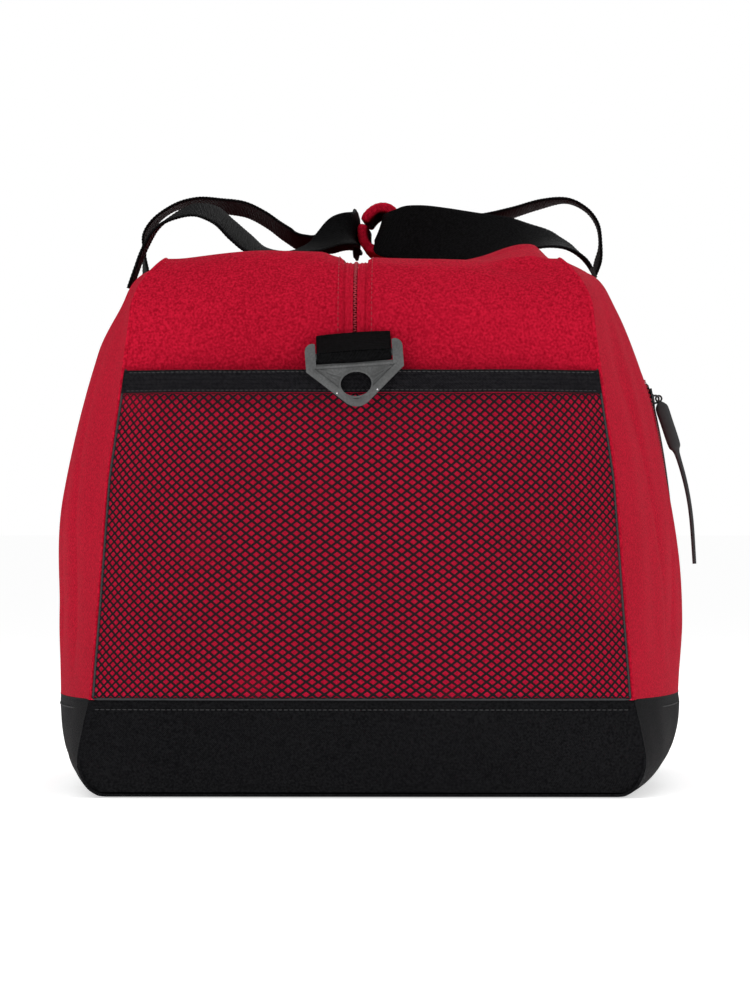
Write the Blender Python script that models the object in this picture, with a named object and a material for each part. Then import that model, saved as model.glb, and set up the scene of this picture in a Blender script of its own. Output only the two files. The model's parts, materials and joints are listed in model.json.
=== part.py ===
"""Soft sports equipment bag with a black base, red panels, mesh end pockets, webbing handles and zips.

Metres, +Z up. X runs across the bag, Y along it, and the near end faces -Y. The origin is under the
middle of the bag, on the surface it stands on.
"""
import math

import bmesh
import bpy
from mathutils import Matrix, Vector

# ---------------------------------------------------------------- driving dimensions
END_SEAM_Y = 0.300  # half the length between the two end seams
TOP_Z = 0.292  # nominal height of the top
TOP_ROLL = 0.032  # radius with which the top rolls over the ends
BASE_HEIGHT = 0.052  # height of the black base
BOTTOM_HALF_WIDTH = 0.138  # flat part of the bottom
CLOTH = 0.0016  # thickness of the coated cloth with its lining
LINING = 0.0010  # thickness of the inner pockets' cloth
GAP = 0.0004  # room between neighbouring panels
SHOULDER_INSET = 0.0016  # room for the side panel's slanting edge along the shoulder
END_BULGE = 0.007  # how far a filled end stands out
DROP_SEAM_Z = 0.2255  # lower edge of the top panels on the ends
SHOULDER_X = 0.107  # seam between top and side panels
CROWN_START = 0.2280  # below this the crown has no effect on the ends
ZIP_X = -0.0035  # the zip and the rings sit a little to the left
DIP_WIDTH = 0.0125  # width on each side of the mouth of the dip along the zip
ZIP_DIP_Z = 0.2903  # height of the top along the zip
FULL_TOP_LEFT = 0.2945  # height of the filled top on each side of the zip
FULL_TOP_RIGHT = 0.2906
SHOULDER_Z = 0.2905

MOUTH_HALF = 0.0065  # half the width between the top panels' folded edges
TAPE_HALF = 0.0125  # half the width of the main zip
TAPE_THICK = 0.0008
TEETH_HALF = 0.0017
TEETH_HIGH = 0.0016
ZIP_END_Z = 0.2385  # where the main zip stops on the ends

ELASTIC_LOW = 0.2175
ELASTIC_HIGH = 0.2295
ELASTIC_THICK = 0.0016
MESH_THICK = 0.0010
MOUTH_DEPTH = 0.0066  # pocket mouth, front to back
POCKET_SWELL = 0.0035  # extra depth half way down the pocket

WEBBING_THICK = 0.0018
TAB_WIDTH = 0.040
TAB_TILT = math.radians(4)
RING_BAR_Z = 0.2375
RING_BAR_Y = 0.3180
RING_BAR_RADIUS = 0.0019
RING_THICK = 0.0036
EAR_HALF = 0.0262
RING_TIP_Z = -0.0187  # middle of the rounded tip, below the bar
RING_TIP_RADIUS = 0.0092
RING_HOLE_Z = -0.0158
RING_HOLE_HALF = (0.0083, 0.0065)

RIGHT_ANCHOR = (0.1262, 0.2880)  # where the right handle leaves the cloth, (x, z)
LEFT_ANCHOR = (-0.1350, 0.2790)
GRIP_X = 0.0045  # middle of the wrapped grip
GRIP_Z = 0.3150
WRAP_LENGTH = 0.118
WRAP_HALF_WIDTH = 0.0130
WRAP_HALF_HEIGHT = 0.0160
WRAP_WALL = 0.0068
WRAP_TILT = math.radians(20)  # the wrap's section leans to the right

POCKET_TOP = (-0.075, 0.2205)  # upper end of the right pocket zip, (y, z)
POCKET_LOW = (0.075, 0.134)  # lower end
POCKET_ZIP_SINK = 0.0016
POCKET_SLOT_HALF = 0.0058
POCKET_BAG_DEPTH = 0.014

SLIDER_LENGTH = 0.013
SLIDER_HALF = 0.0044
SLIDER_HIGH = 0.0030
BAIL_HIGH = 0.0034
MAIN_SLIDER_Y = 0.250  # the closed zip's slider, at the far end
BAIL_BAR = 0.0010  # thickness of the bail's bar
EYE_INNER = 0.00115
EYE_OUTER = 0.0022
EYE_HALF_THICK = 0.0006
PULL_LEAN = math.radians(19)
PULL_BEND = math.radians(12)
POCKET_PULL_SHAPE = [  # distance from the eye's middle, half width, half depth
    (0.0018, 0.0012, 0.0008),
    (0.0035, 0.0026, 0.0015),
    (0.0060, 0.0037, 0.0019),
    (0.0150, 0.0037, 0.0020),
    (0.0270, 0.0036, 0.0019),
    (0.0310, 0.0021, 0.0014),
    (0.0350, 0.0015, 0.0012),
    (0.0480, 0.0013, 0.0011),
    (0.0680, 0.0012, 0.0010),
    (0.0965, 0.0011, 0.0009),
]
MAIN_PULL_SHAPE = [
    (0.0018, 0.0012, 0.0006),
    (0.0035, 0.0026, 0.0008),
    (0.0060, 0.0037, 0.0011),
    (0.0270, 0.0036, 0.0011),
    (0.0310, 0.0021, 0.0010),
    (0.0350, 0.0015, 0.0009),
    (0.0500, 0.0013, 0.0008),
    (0.0660, 0.0011, 0.0007),
]

RED = (0.44, 0.012, 0.035)
BLACK = (0.012, 0.012, 0.013)
GREY = (0.13, 0.135, 0.135)


# ---------------------------------------------------------------- helpers
def clear_scene():
    for old in list(bpy.data.objects):
        bpy.data.objects.remove(old, do_unlink=True)


def material(name, colour, roughness, metallic=0.0):
    made = bpy.data.materials.get(name) or bpy.data.materials.new(name)
    made.use_nodes = True
    shader = made.node_tree.nodes["Principled BSDF"]
    shader.inputs["Base Color"].default_value = (*colour, 1.0)
    shader.inputs["Roughness"].default_value = roughness
    shader.inputs["Metallic"].default_value = metallic
    return made


def add_object(name, bm, finish, origin=None, triangles=False):
    """Makes the object. origin moves its origin there while the mesh stays where it is. triangles
    fixes how the faces of a twisted surface are divided."""
    if triangles:
        bmesh.ops.triangulate(bm, faces=bm.faces[:])
    bmesh.ops.recalc_face_normals(bm, faces=bm.faces)
    if origin is not None:
        bmesh.ops.translate(bm, verts=bm.verts, vec=-Vector(origin))
    mesh = bpy.data.meshes.new(name)
    bm.to_mesh(mesh)
    bm.free()
    mesh.materials.append(finish)
    made = bpy.data.objects.new(name, mesh)
    bpy.context.collection.objects.link(made)
    if origin is not None:
        made.location = Vector(origin)
    return made


def add_helper(name, bm, finish, target, operation):
    """A shape that is cut from target or added to it, and isn't shown itself."""
    helper = add_object(name, bm, finish)
    helper.hide_render = True
    helper.display_type = "WIRE"
    step = target.modifiers.new(name, "BOOLEAN")
    step.object = helper
    step.operation = operation
    step.solver = "EXACT"


def shade_round(made):
    made.data.shade_smooth()
    made.data.set_sharp_from_angle(angle=math.radians(35))


def smooth_through(points, t):
    """The point at t, from 0 to 1, of a smooth curve through evenly timed points of any size."""
    last = len(points) - 1
    place = min(max(t, 0.0), 1.0) * last
    k = min(int(place), last - 1)
    x = place - k
    around = [points[min(max(k + n, 0), last)] for n in (-1, 0, 1, 2)]
    found = []
    for a, b, c, d in zip(*around):
        found.append(
            b + 0.5 * x * (c - a + x * (2 * a - 5 * b + 4 * c - d + x * (3 * (b - c) + d - a)))
        )
    return found


def by_height(table, z):
    """Linear interpolation in a table of (height, value)."""
    for (z0, v0), (z1, v1) in zip(table, table[1:]):
        if z <= z1:
            return v0 + (v1 - v0) * max(0.0, (z - z0) / (z1 - z0))
    return table[-1][1]


def ease(x):
    x = min(max(x, 0.0), 1.0)
    return x * x * (3 - 2 * x)


def sheet(point, nu, nv, thickness):
    """A closed sheet: its outer face is point(u, v), and its inner face lies thickness further in,
    on the side that the bag's middle is on."""
    bm = bmesh.new()
    middle = Vector((0, 0, 0.15))
    step = 1e-3
    outer, inner = [], []
    for i in range(nu + 1):
        for j in range(nv + 1):
            u, v = i / nu, j / nv
            here = Vector(point(u, v))
            u0, u1 = max(u - step, 0), min(u + step, 1)
            v0, v1 = max(v - step, 0), min(v + step, 1)
            du = Vector(point(u1, v)) - Vector(point(u0, v))
            dv = Vector(point(u, v1)) - Vector(point(u, v0))
            normal = du.cross(dv).normalized()
            if normal.dot(here - middle) < 0:
                normal = -normal
            outer.append(bm.verts.new(here))
            inner.append(bm.verts.new(here - normal * thickness))

    def at(i, j):
        return i * (nv + 1) + j

    for i in range(nu):
        for j in range(nv):
            corners = [at(i, j), at(i + 1, j), at(i + 1, j + 1), at(i, j + 1)]
            bm.faces.new([outer[k] for k in corners])
            bm.faces.new([inner[k] for k in reversed(corners)])
    rim = [at(i, 0) for i in range(nu)]
    rim += [at(nu, j) for j in range(nv)]
    rim += [at(i, nv) for i in range(nu, 0, -1)]
    rim += [at(0, j) for j in range(nv, 0, -1)]
    for a, b in zip(rim, rim[1:] + rim[:1]):
        bm.faces.new([outer[a], inner[a], inner[b], outer[b]])
    return bm


def block(bm, low, high, frame=Matrix()):
    """A box between two corners, placed by frame."""
    made = bmesh.ops.create_cube(bm, size=1.0)["verts"]
    low, high = Vector(low), Vector(high)
    for v in made:
        v.co = Vector([low[k] + (v.co[k] + 0.5) * (high[k] - low[k]) for k in range(3)])
    bmesh.ops.transform(bm, matrix=frame, verts=made)
    return made


def extruded(outline, low, high, frame=Matrix(), hole=None):
    """A prism between two heights over an outline of (x, y), with an optional hole of as many points."""
    bm = bmesh.new()
    rings = []
    for z in (low, high):
        rings.append([bm.verts.new(frame @ Vector((x, y, z))) for x, y in outline])
    count = len(outline)
    for k in range(count):
        n = (k + 1) % count
        bm.faces.new([rings[0][k], rings[0][n], rings[1][n], rings[1][k]])
    if hole is None:
        bm.faces.new(rings[0])
        bm.faces.new(rings[1])
        return bm
    inside = []
    for z in (low, high):
        inside.append([bm.verts.new(frame @ Vector((x, y, z))) for x, y in hole])
    for k in range(count):
        n = (k + 1) % count
        bm.faces.new([inside[0][n], inside[0][k], inside[1][k], inside[1][n]])
        for level in (0, 1):
            bm.faces.new([rings[level][k], rings[level][n], inside[level][n], inside[level][k]])
    return bm


def arc(centre, radius, start, end, steps):
    """Points on an arc, in degrees."""
    found = []
    for k in range(steps + 1):
        a = math.radians(start + (end - start) * k / steps)
        found.append((centre[0] + radius * math.cos(a), centre[1] + radius * math.sin(a)))
    return found


def turned_about_z(x, y, z):
    return (-x, -y, z)


# ---------------------------------------------------------------- the bag's surface
EDGE_WIDTHS = [  # half the width of an end, from seam to seam, by height
    (0.0000, 0.1380),
    (0.0016, 0.1426),
    (0.0040, 0.1462),
    (0.0090, 0.1512),
    (0.0160, 0.1535),
    (0.0300, 0.1515),
    (0.0520, 0.1466),
    (0.1060, 0.1423),
    (0.1710, 0.1375),
    (0.2290, 0.1290),
    (0.2620, 0.1245),
]
ROLL_START = TOP_Z - TOP_ROLL
ROLL_END = ROLL_START + TOP_ROLL * math.pi / 2
TOP_MIDDLE = ROLL_END + END_SEAM_Y - TOP_ROLL  # distance from the floor, up the end, to the middle

SIDE_PROFILE = [  # the swollen side half way along, (x, z), from the base's edge to the shoulder seam
    (0.1745, 0.0520),
    (0.1750, 0.0900),
    (0.1735, 0.1300),
    (0.1675, 0.1750),
    (0.1590, 0.2155),
    (0.1497, 0.2430),
    (0.1392, 0.2675),
    (0.1278, 0.2845),
    (0.1080, 0.2914),
]
BASE_PROFILE = [  # the base half way along, from its edge to the flat bottom
    (0.1745, 0.0520),
    (0.1728, 0.0350),
    (0.1680, 0.0190),
    (0.1590, 0.0065),
    (0.1475, 0.0012),
    (0.1380, 0.0000),
]
BASE_END_PROFILE = [  # the same at an end, (x, y, z)
    (0.1466, 0.3000, 0.0520),
    (0.1505, 0.3000, 0.0350),
    (0.1530, 0.3000, 0.0180),
    (0.1488, 0.2995, 0.0060),
    (0.1428, 0.2980, 0.0010),
    (0.1380, 0.2960, 0.0000),
]


def strip_half_width(s):
    """Half the width of the strip that runs up an end and over the top, s metres from the floor."""
    if s <= ROLL_START:
        return by_height(EDGE_WIDTHS, s)
    start = by_height(EDGE_WIDTHS, ROLL_START)
    return start + (SHOULDER_X - start) * ease((s - ROLL_START) / (ROLL_END - ROLL_START))


def end_bulge(f, z):
    """How far the end stands out at height z and at f of its half width."""
    rise = min(max((z - 0.14) / 0.14, -1), 1)
    return END_BULGE * max(0.0, 1 - f**4) * (1 - rise**4)


def crown(x, half):
    """Height of the top at x across it: a dip at the zip, and lower again at the shoulder."""
    full = FULL_TOP_LEFT if x < ZIP_X else FULL_TOP_RIGHT
    beside = abs(x - ZIP_X)
    if beside < MOUTH_HALF + DIP_WIDTH:
        return ZIP_DIP_Z + (full - ZIP_DIP_Z) * ease((beside - MOUTH_HALF) / DIP_WIDTH)
    return full + (SHOULDER_Z - full) * ease((abs(x) / half - 0.45) / 0.55)


def strip(x, s):
    """A point of the strip up the near end and over to the far end, at x across it."""
    mirrored = s > TOP_MIDDLE
    if mirrored:
        s = 2 * TOP_MIDDLE - s
    f = min(abs(x) / strip_half_width(s), 1.0)
    if s <= ROLL_START:
        y, z = -END_SEAM_Y, s
    elif s <= ROLL_END:
        a = (s - ROLL_START) / TOP_ROLL
        y = -END_SEAM_Y + TOP_ROLL * (1 - math.cos(a))
        z = ROLL_START + TOP_ROLL * math.sin(a)
    else:
        y, z = -END_SEAM_Y + TOP_ROLL + (s - ROLL_END), TOP_Z
    y -= end_bulge(f, min(z, 0.28)) * (1 - ease((s - ROLL_START) / (ROLL_END - ROLL_START)))
    z += (crown(x, strip_half_width(s)) - TOP_Z) * ease((s - CROWN_START) / (ROLL_END - CROWN_START))
    return (x, -y if mirrored else y, z)


def fullness(u):
    """How much of its full swelling the side has at u along the bag."""
    return 1 - abs(2 * u - 1) ** 3.2


def side(u, v):
    """The right side: u runs from the near end to the far end, v from the base to the shoulder."""
    s = BASE_HEIGHT + (ROLL_END - BASE_HEIGHT) * v
    x, y, z = strip(strip_half_width(s), s)
    middle_x, middle_z = smooth_through(SIDE_PROFILE, v)
    full = fullness(u)
    return (x + (middle_x - x) * full, -y * (2 * u - 1), z + (middle_z - z) * full)


def base(u, v):
    """The base: v runs from its right edge under the bottom to its left edge."""
    flat = 0.36
    if v > 0.5:
        x, y, z = base(u, 1 - v)
        return (-x, y, z)
    if v < flat:
        end_x, end_y, end_z = smooth_through(BASE_END_PROFILE, v / flat)
        middle_x, middle_z = smooth_through(BASE_PROFILE, v / flat)
    else:
        end_x = middle_x = BOTTOM_HALF_WIDTH * (0.5 - v) / (0.5 - flat)
        end_y, end_z, middle_z = BASE_END_PROFILE[-1][1], 0.0, 0.0
    full = fullness(u)
    x = end_x + (middle_x - end_x) * full
    z = end_z + (middle_z - end_z) * full
    return (x, end_y * (2 * u - 1), max(z, 0.0))


def side_at(y, z):
    """The point of the right side at a given y and z, and its outward normal."""
    low, high = 0.0, 1.0
    for _ in range(40):
        v = (low + high) / 2
        reach = side(1.0, v)[1]
        u = (y / reach + 1) / 2
        if side(u, v)[2] < z:
            low = v
        else:
            high = v
    here = Vector(side(u, v))
    along = Vector(side(u + 0.01, v)) - here
    up = Vector(side(u, v + 0.01)) - here
    return here, along.cross(up).normalized()


# ---------------------------------------------------------------- soft panels
def make_base(black):
    inset = 0.001
    bm = sheet(lambda u, v: base(u, inset + (1 - 2 * inset) * v), 14, 28, CLOTH)
    add_object("base_wrap", bm, black)
    for name, turn in (("near", False), ("far", True)):

        def end_piece(u, v, turn=turn):
            s = 0.0024 + (BASE_HEIGHT - GAP / 2 - 0.0024) * v
            half = strip_half_width(s) - CLOTH - 2 * GAP
            x, y, z = strip(half * (2 * u - 1), s)
            y += 0.0035 * (1 - v) ** 4
            return turned_about_z(x, y, z) if turn else (x, y, z)

        add_object(f"end_base_{name}", sheet(end_piece, 14, 5, CLOTH), black)


def make_end_panels(red):
    for name, turn in (("near", False), ("far", True)):

        def panel(u, v, turn=turn):
            low, high = BASE_HEIGHT + GAP / 2, DROP_SEAM_Z - GAP / 2
            s = low + (high - low) * v
            half = strip_half_width(s) - CLOTH - 2 * GAP
            x, y, z = strip(half * (2 * u - 1), s)
            return turned_about_z(x, y, z) if turn else (x, y, z)

        add_object(f"end_panel_{name}", sheet(panel, 14, 10, CLOTH), red)


def strip_stations(start):
    """Distances along the strip from start on the near end to the same place on the far end."""
    half = [start + (ROLL_START - start) * k / 2 for k in range(2)]
    half += [ROLL_START + (ROLL_END - ROLL_START) * k / 6 for k in range(7)]
    half += [ROLL_END + (TOP_MIDDLE - ROLL_END) * k / 6 for k in range(1, 7)]
    return half + [2 * TOP_MIDDLE - s for s in reversed(half[:-1])]


def stations_point(stations, u):
    """The distance at u of the way through a list of distances."""
    place = u * (len(stations) - 1)
    k = min(int(place), len(stations) - 2)
    return stations[k] + (stations[k + 1] - stations[k]) * (place - k)


def make_top_panels(red):
    stations = strip_stations(DROP_SEAM_Z + GAP / 2)
    shares = [0.0, 0.08, 0.2, 0.38, 0.6, 0.82, 1.0]
    for name, way in (("left", -1), ("right", 1)):

        def panel(u, v, way=way):
            s = stations_point(stations, u)
            on_end = 1 - ease((min(s, 2 * TOP_MIDDLE - s) - ROLL_START) / (ROLL_END - ROLL_START))
            half = strip_half_width(min(s, 2 * TOP_MIDDLE - s)) - SHOULDER_INSET - CLOTH * on_end
            inner = ZIP_X + way * MOUTH_HALF
            return strip(inner + (way * half - inner) * stations_point(shares, v), s)

        bm = sheet(panel, len(stations) - 1, len(shares) - 1, CLOTH)
        add_object(f"top_panel_{name}", bm, red)


def pocket_frame():
    """Start, direction, length and outward normal of the straight zip in the right side."""
    top, top_normal = side_at(*POCKET_TOP)
    low, low_normal = side_at(*POCKET_LOW)
    along = (low - top).normalized()
    normal = (top_normal + low_normal).normalized()
    normal = (normal - along * normal.dot(along)).normalized()
    return top - normal * POCKET_ZIP_SINK, along, (low - top).length, normal


def zip_matrix(turn):
    """The frame of a pocket zip: local X along it, Z outward. turn puts it in the left side."""
    start, along, _, normal = pocket_frame()
    across = normal.cross(along)
    frame = Matrix.Translation(start) @ Matrix((along, across, normal)).transposed().to_4x4()
    return Matrix.Rotation(math.pi, 4, "Z") @ frame if turn else frame


def make_side_panels(red):
    length = pocket_frame()[2]
    for name, turn in (("right", False), ("left", True)):

        def panel(u, v, turn=turn):
            edge = 0.0012
            x, y, z = side(u, edge + (1 - 2 * edge) * v)
            return turned_about_z(x, y, z) if turn else (x, y, z)

        made = add_object(f"side_panel_{name}", sheet(panel, 18, 14, CLOTH), red)
        half = POCKET_SLOT_HALF
        slot = arc((0, 0), half, 90, 270, 6) + arc((length, 0), half, -90, 90, 6)
        cutter = extruded(slot, -0.012, 0.012, zip_matrix(turn))
        add_helper(f"slot_shape_{name}", cutter, red, made, "DIFFERENCE")


def make_pocket_bags(black):
    for name, turn in (("right", False), ("left", True)):

        def lining(u, v, turn=turn):
            y = -0.105 + 0.210 * u
            z = 0.095 + 0.145 * v
            here, normal = side_at(y, z)
            edge = min(u, 1 - u, v, 1 - v)
            depth = CLOTH + GAP + POCKET_BAG_DEPTH * ease(edge / 0.16)
            x, y, z = here - normal * depth
            return turned_about_z(x, y, z) if turn else (x, y, z)

        bm = sheet(lining, 14, 12, LINING)
        add_object(f"pocket_bag_{name}", bm, black, triangles=True)


def make_base_board(finish):
    outline = []
    for sx, sy, start in ((1, 1, 0), (-1, 1, 90), (-1, -1, 180), (1, -1, 270)):
        outline += arc((sx * 0.115, sy * 0.263), 0.02, start, start + 90, 4)
    low = CLOTH + GAP
    add_object("base_board", extruded(outline, low, low + 0.003), finish)


# ---------------------------------------------------------------- end pockets
def pocket_stand_off(f, z):
    """How far the pocket's inner face stands off the end."""
    down = min(max((z - BASE_HEIGHT) / (ELASTIC_HIGH - BASE_HEIGHT), 0.0), 1.0)
    depth = MOUTH_DEPTH + POCKET_SWELL * math.sin(math.pi * down) ** 2
    return GAP + depth * max(0.0, 1 - abs(f) ** 4) * ease(down / 0.12)


def pocket_point(x, z, extra):
    half = strip_half_width(z)
    f = min(abs(x) / half, 1.0)
    x, y, z = strip(x, z)
    return x, y - pocket_stand_off(f, z) - extra, z


def make_pockets(net_black, elastic_black):
    for name, turn in (("near", False), ("far", True)):

        def net(u, v, turn=turn):
            z = BASE_HEIGHT + 0.001 + (ELASTIC_LOW - GAP - BASE_HEIGHT - 0.001) * v
            half = strip_half_width(z) - 0.0015
            x, y, z = pocket_point(half * (2 * u - 1), z, MESH_THICK)
            return turned_about_z(x, y, z) if turn else (x, y, z)

        def band(u, v, turn=turn):
            z = ELASTIC_LOW + (ELASTIC_HIGH - ELASTIC_LOW) * v
            half = strip_half_width(z) - 0.0015
            x, y, z = pocket_point(half * (2 * u - 1), z, ELASTIC_THICK)
            return turned_about_z(x, y, z) if turn else (x, y, z)

        add_object(f"mesh_pocket_{name}", sheet(net, 18, 9, MESH_THICK), net_black)
        elastic = sheet(band, 18, 1, ELASTIC_THICK)
        add_object(f"pocket_elastic_{name}", elastic, elastic_black)


# ---------------------------------------------------------------- rings on webbing tabs
def ring_frame(turn):
    """The ring's bar: local X along the bar, Y into the bag, Z up."""
    x = -ZIP_X if turn else ZIP_X
    frame = Matrix.Translation((x, -RING_BAR_Y, RING_BAR_Z)) @ Matrix.Rotation(-TAB_TILT, 4, "Y")
    return Matrix.Rotation(math.pi, 4, "Z") @ frame if turn else frame


def make_tab(name, frame, finish):
    """A folded webbing tab: a loop round the ring's bar, its two layers sewn to the end above it."""
    layer = 0.0014
    inner_radius = 0.0026
    back = RING_BAR_Y - END_SEAM_Y - end_bulge(0.1, 0.25) - 0.0008
    round_bar = (-42, -222)
    outline = [(back, 0.0109), (back, 0.0088)]
    outline += arc((0, 0), inner_radius + layer, *round_bar, 10)
    outline += [(back - 0.0034, 0.0109)]
    core = [(back - 0.0042, 0.0094), (back - 0.0042, 0.0068)]
    core += arc((0, 0), inner_radius, *round_bar, 10)
    core += [(back - 0.0053, 0.0090)]
    side_on = frame @ Matrix(((0, 0, 1, 0), (1, 0, 0, 0), (0, 1, 0, 0), (0, 0, 0, 1)))
    half = TAB_WIDTH / 2
    add_object(name, extruded(outline, -half, half, side_on, hole=core), finish)


def make_ring(name, frame, finish):
    """A moulded triangular ring: a bar between two ears, over a plate with an oval hole."""
    window_half = TAB_WIDTH / 2 + 0.0006
    right = [
        (EAR_HALF, -0.0078),
        (EAR_HALF, 0.0040),
        (EAR_HALF - 0.0026, 0.0063),
        (window_half, 0.0068),
        (window_half, -0.0044),
    ]
    outline = right + [(-x, z) for x, z in reversed(right)]
    outline += arc((0, RING_TIP_Z), RING_TIP_RADIUS, 222, 318, 10)
    upright = frame @ Matrix.Rotation(math.pi / 2, 4, "X")
    half = RING_THICK / 2
    made = add_object(name, extruded(outline, -half, half, upright), finish)
    along_bar = frame @ Matrix.Rotation(math.pi / 2, 4, "Y")
    section = arc((0, 0), RING_BAR_RADIUS, 0, 360, 14)[:-1]
    reach = EAR_HALF - 0.003
    add_helper(f"{name}_bar_shape", extruded(section, -reach, reach, along_bar), finish, made, "UNION")
    oval = []
    for x, z in arc((0, 0), 1.0, 0, 360, 24)[:-1]:
        oval.append((RING_HOLE_HALF[0] * x, RING_HOLE_Z + RING_HOLE_HALF[1] * z))
    hole = extruded(oval, -0.01, 0.01, upright)
    add_helper(f"{name}_hole_shape", hole, finish, made, "DIFFERENCE")
    shade_round(made)


def make_rings(black, grey):
    for name, turn in (("near", False), ("far", True)):
        frame = ring_frame(turn)
        make_tab(f"ring_tab_{name}", frame, black)
        make_ring(f"ring_{name}", frame, grey)


# ---------------------------------------------------------------- main zip
def zip_ribbon(stations, x_low, x_high, depth):
    """A surface along the main zip between two distances across it, depth below the cloth's face."""

    def point(u, v):
        s = stations_point(stations, u)
        middle = Vector(strip(ZIP_X, s))
        step = 0.00005
        ahead = Vector(strip(ZIP_X, s + step)) - Vector(strip(ZIP_X, s - step))
        outward = Vector((1, 0, 0)).cross(ahead).normalized()
        x = ZIP_X + x_low + (x_high - x_low) * v
        return Vector((x, middle.y, middle.z)) - outward * depth

    return point


def make_main_zip(red):
    stations = strip_stations(ZIP_END_Z)
    count = len(stations) - 1
    depth = CLOTH + GAP
    inner = TEETH_HALF + 0.0002
    for name, way in (("left", -1), ("right", 1)):
        tape = zip_ribbon(stations, way * inner, way * TAPE_HALF, depth)
        add_object(f"main_zip_tape_{name}", sheet(tape, count, 1, TAPE_THICK), red)
    top_of_teeth = depth - TEETH_HIGH + 0.0004
    teeth = zip_ribbon(stations, -TEETH_HALF, TEETH_HALF, top_of_teeth)
    add_object("main_zip_teeth", sheet(teeth, count, 1, TEETH_HIGH), red)


# ---------------------------------------------------------------- sliders and pulls
def lofted(rings):
    """A closed shape through rings of as many points each."""
    bm = bmesh.new()
    made = [[bm.verts.new(p) for p in ring] for ring in rings]
    for a, b in zip(made, made[1:]):
        for k in range(len(a)):
            n = (k + 1) % len(a)
            bm.faces.new([a[k], a[n], b[n], b[k]])
    bm.faces.new(made[0])
    bm.faces.new(made[-1])
    return bm


def make_slider(name, frame, finish, bail_turn=0.0):
    """A slider, local X along the zip and Z up from the teeth: a plate with flanges under a bail. The
    bail stands along the zip, turned by bail_turn."""
    half, high, long = SLIDER_HALF, SLIDER_HIGH, SLIDER_LENGTH / 2
    wall = 0.0009
    outline = [(-half, 0), (-half, high), (half, high), (half, 0)]
    outline += [(half - wall, 0), (half - wall, high - wall)]
    outline += [(-half + wall, high - wall), (-half + wall, 0)]
    rings = []
    for x, narrow in ((-long, 1.0), (long, 0.72)):
        rings.append([frame @ Vector((x, y * narrow, z)) for y, z in outline])
    made = add_object(name, lofted(rings), finish, origin=frame.translation)
    foot, leg, shoulder, crest = 0.0042, 0.0030, 0.0014, 0.0026
    root = -0.0003
    inside = BAIL_HIGH - BAIL_BAR
    arch = [(-foot, root), (-foot, shoulder), (-crest, BAIL_HIGH), (crest, BAIL_HIGH)]
    arch += [(foot, shoulder), (foot, root), (leg, root), (leg, shoulder - 0.0004)]
    arch += [(crest - 0.0007, inside), (-crest + 0.0007, inside), (-leg, shoulder - 0.0004)]
    arch += [(-leg, root)]
    turned = frame @ Matrix.Rotation(bail_turn, 4, "Z")
    rings = []
    for y in (-BAIL_BAR / 2, BAIL_BAR / 2):
        rings.append([turned @ Vector((x, y, high + z)) for x, z in arch])
    add_helper(f"{name}_bail_shape", lofted(rings), finish, made, "UNION")


def eye_ring(pin, axis, inner, outer, half_thick):
    """A round eye about pin, its hole along axis."""
    turn = axis.to_track_quat("Z", "Y").to_matrix().to_4x4()
    rim = arc((0, 0), outer, 0, 360, 16)[:-1]
    hole = arc((0, 0), inner, 0, 360, 16)[:-1]
    return extruded(rim, -half_thick, half_thick, Matrix.Translation(pin) @ turn, hole=hole)


def make_pull(name, pin, axis, rows, finish):
    """A moulded pull: an eye about pin, then a grip and a tail through rows of place, direction
    along the pull, half width and half depth. Its width lies across its length and axis."""
    rings = []
    for place, along, wide, deep, broad_axis in rows:
        other = along.cross(broad_axis).normalized()
        ring = []
        for x, y in ((-1, -0.5), (-0.6, -1), (0.6, -1), (1, -0.5), (1, 0.5), (0.6, 1), (-0.6, 1), (-1, 0.5)):
            ring.append(place + broad_axis * (x * wide) + other * (y * deep))
        rings.append(ring)
    made = add_object(name, lofted(rings), finish, origin=pin, triangles=True)
    eye = eye_ring(pin, axis, EYE_INNER, EYE_OUTER, EYE_HALF_THICK)
    add_helper(f"{name}_eye_shape", eye, finish, made, "UNION")
    shade_round(made)


def pocket_pull_rows(pin, way):
    """The pocket pull hangs a little outward, and its tail bends back to hang straighter."""
    rows = []
    place, reached = Vector(pin), 0.0
    for distance, wide, deep in POCKET_PULL_SHAPE:
        steps = 12
        for k in range(steps):
            d = reached + (distance - reached) * (k + 0.5) / steps
            lean = PULL_LEAN - PULL_BEND * ease((d - 0.026) / 0.060)
            place = place + Vector((way * math.sin(lean), 0, -math.cos(lean))) * (
                (distance - reached) / steps
            )
        reached = distance
        lean = PULL_LEAN - PULL_BEND * ease((distance - 0.026) / 0.060)
        along = Vector((way * math.sin(lean), 0, -math.cos(lean)))
        rows.append((place, along, wide, deep, Vector((-along.z, 0, along.x))))
    return rows


def bail_bar(frame):
    """The middle of a slider's bail bar."""
    return frame @ Vector((0, 0, SLIDER_HIGH + BAIL_HIGH - BAIL_BAR / 2))


def make_main_slider(finish, pull_finish):
    top = strip(ZIP_X, TOP_MIDDLE)[2] - (CLOTH + GAP) + TEETH_HIGH
    frame = Matrix.Translation((ZIP_X, MAIN_SLIDER_Y, top)) @ Matrix.Rotation(math.pi / 2, 4, "Z")
    make_slider("main_slider", frame, finish, bail_turn=math.pi / 2)
    pin = bail_bar(frame)
    rows = []
    for distance, wide, deep in MAIN_PULL_SHAPE:
        rows.append((pin - Vector((0, distance, 0)), Vector((0, -1, 0)), wide, deep, Vector((1, 0, 0))))
    make_pull("main_pull", pin, Vector((1, 0, 0)), rows, pull_finish)


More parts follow.
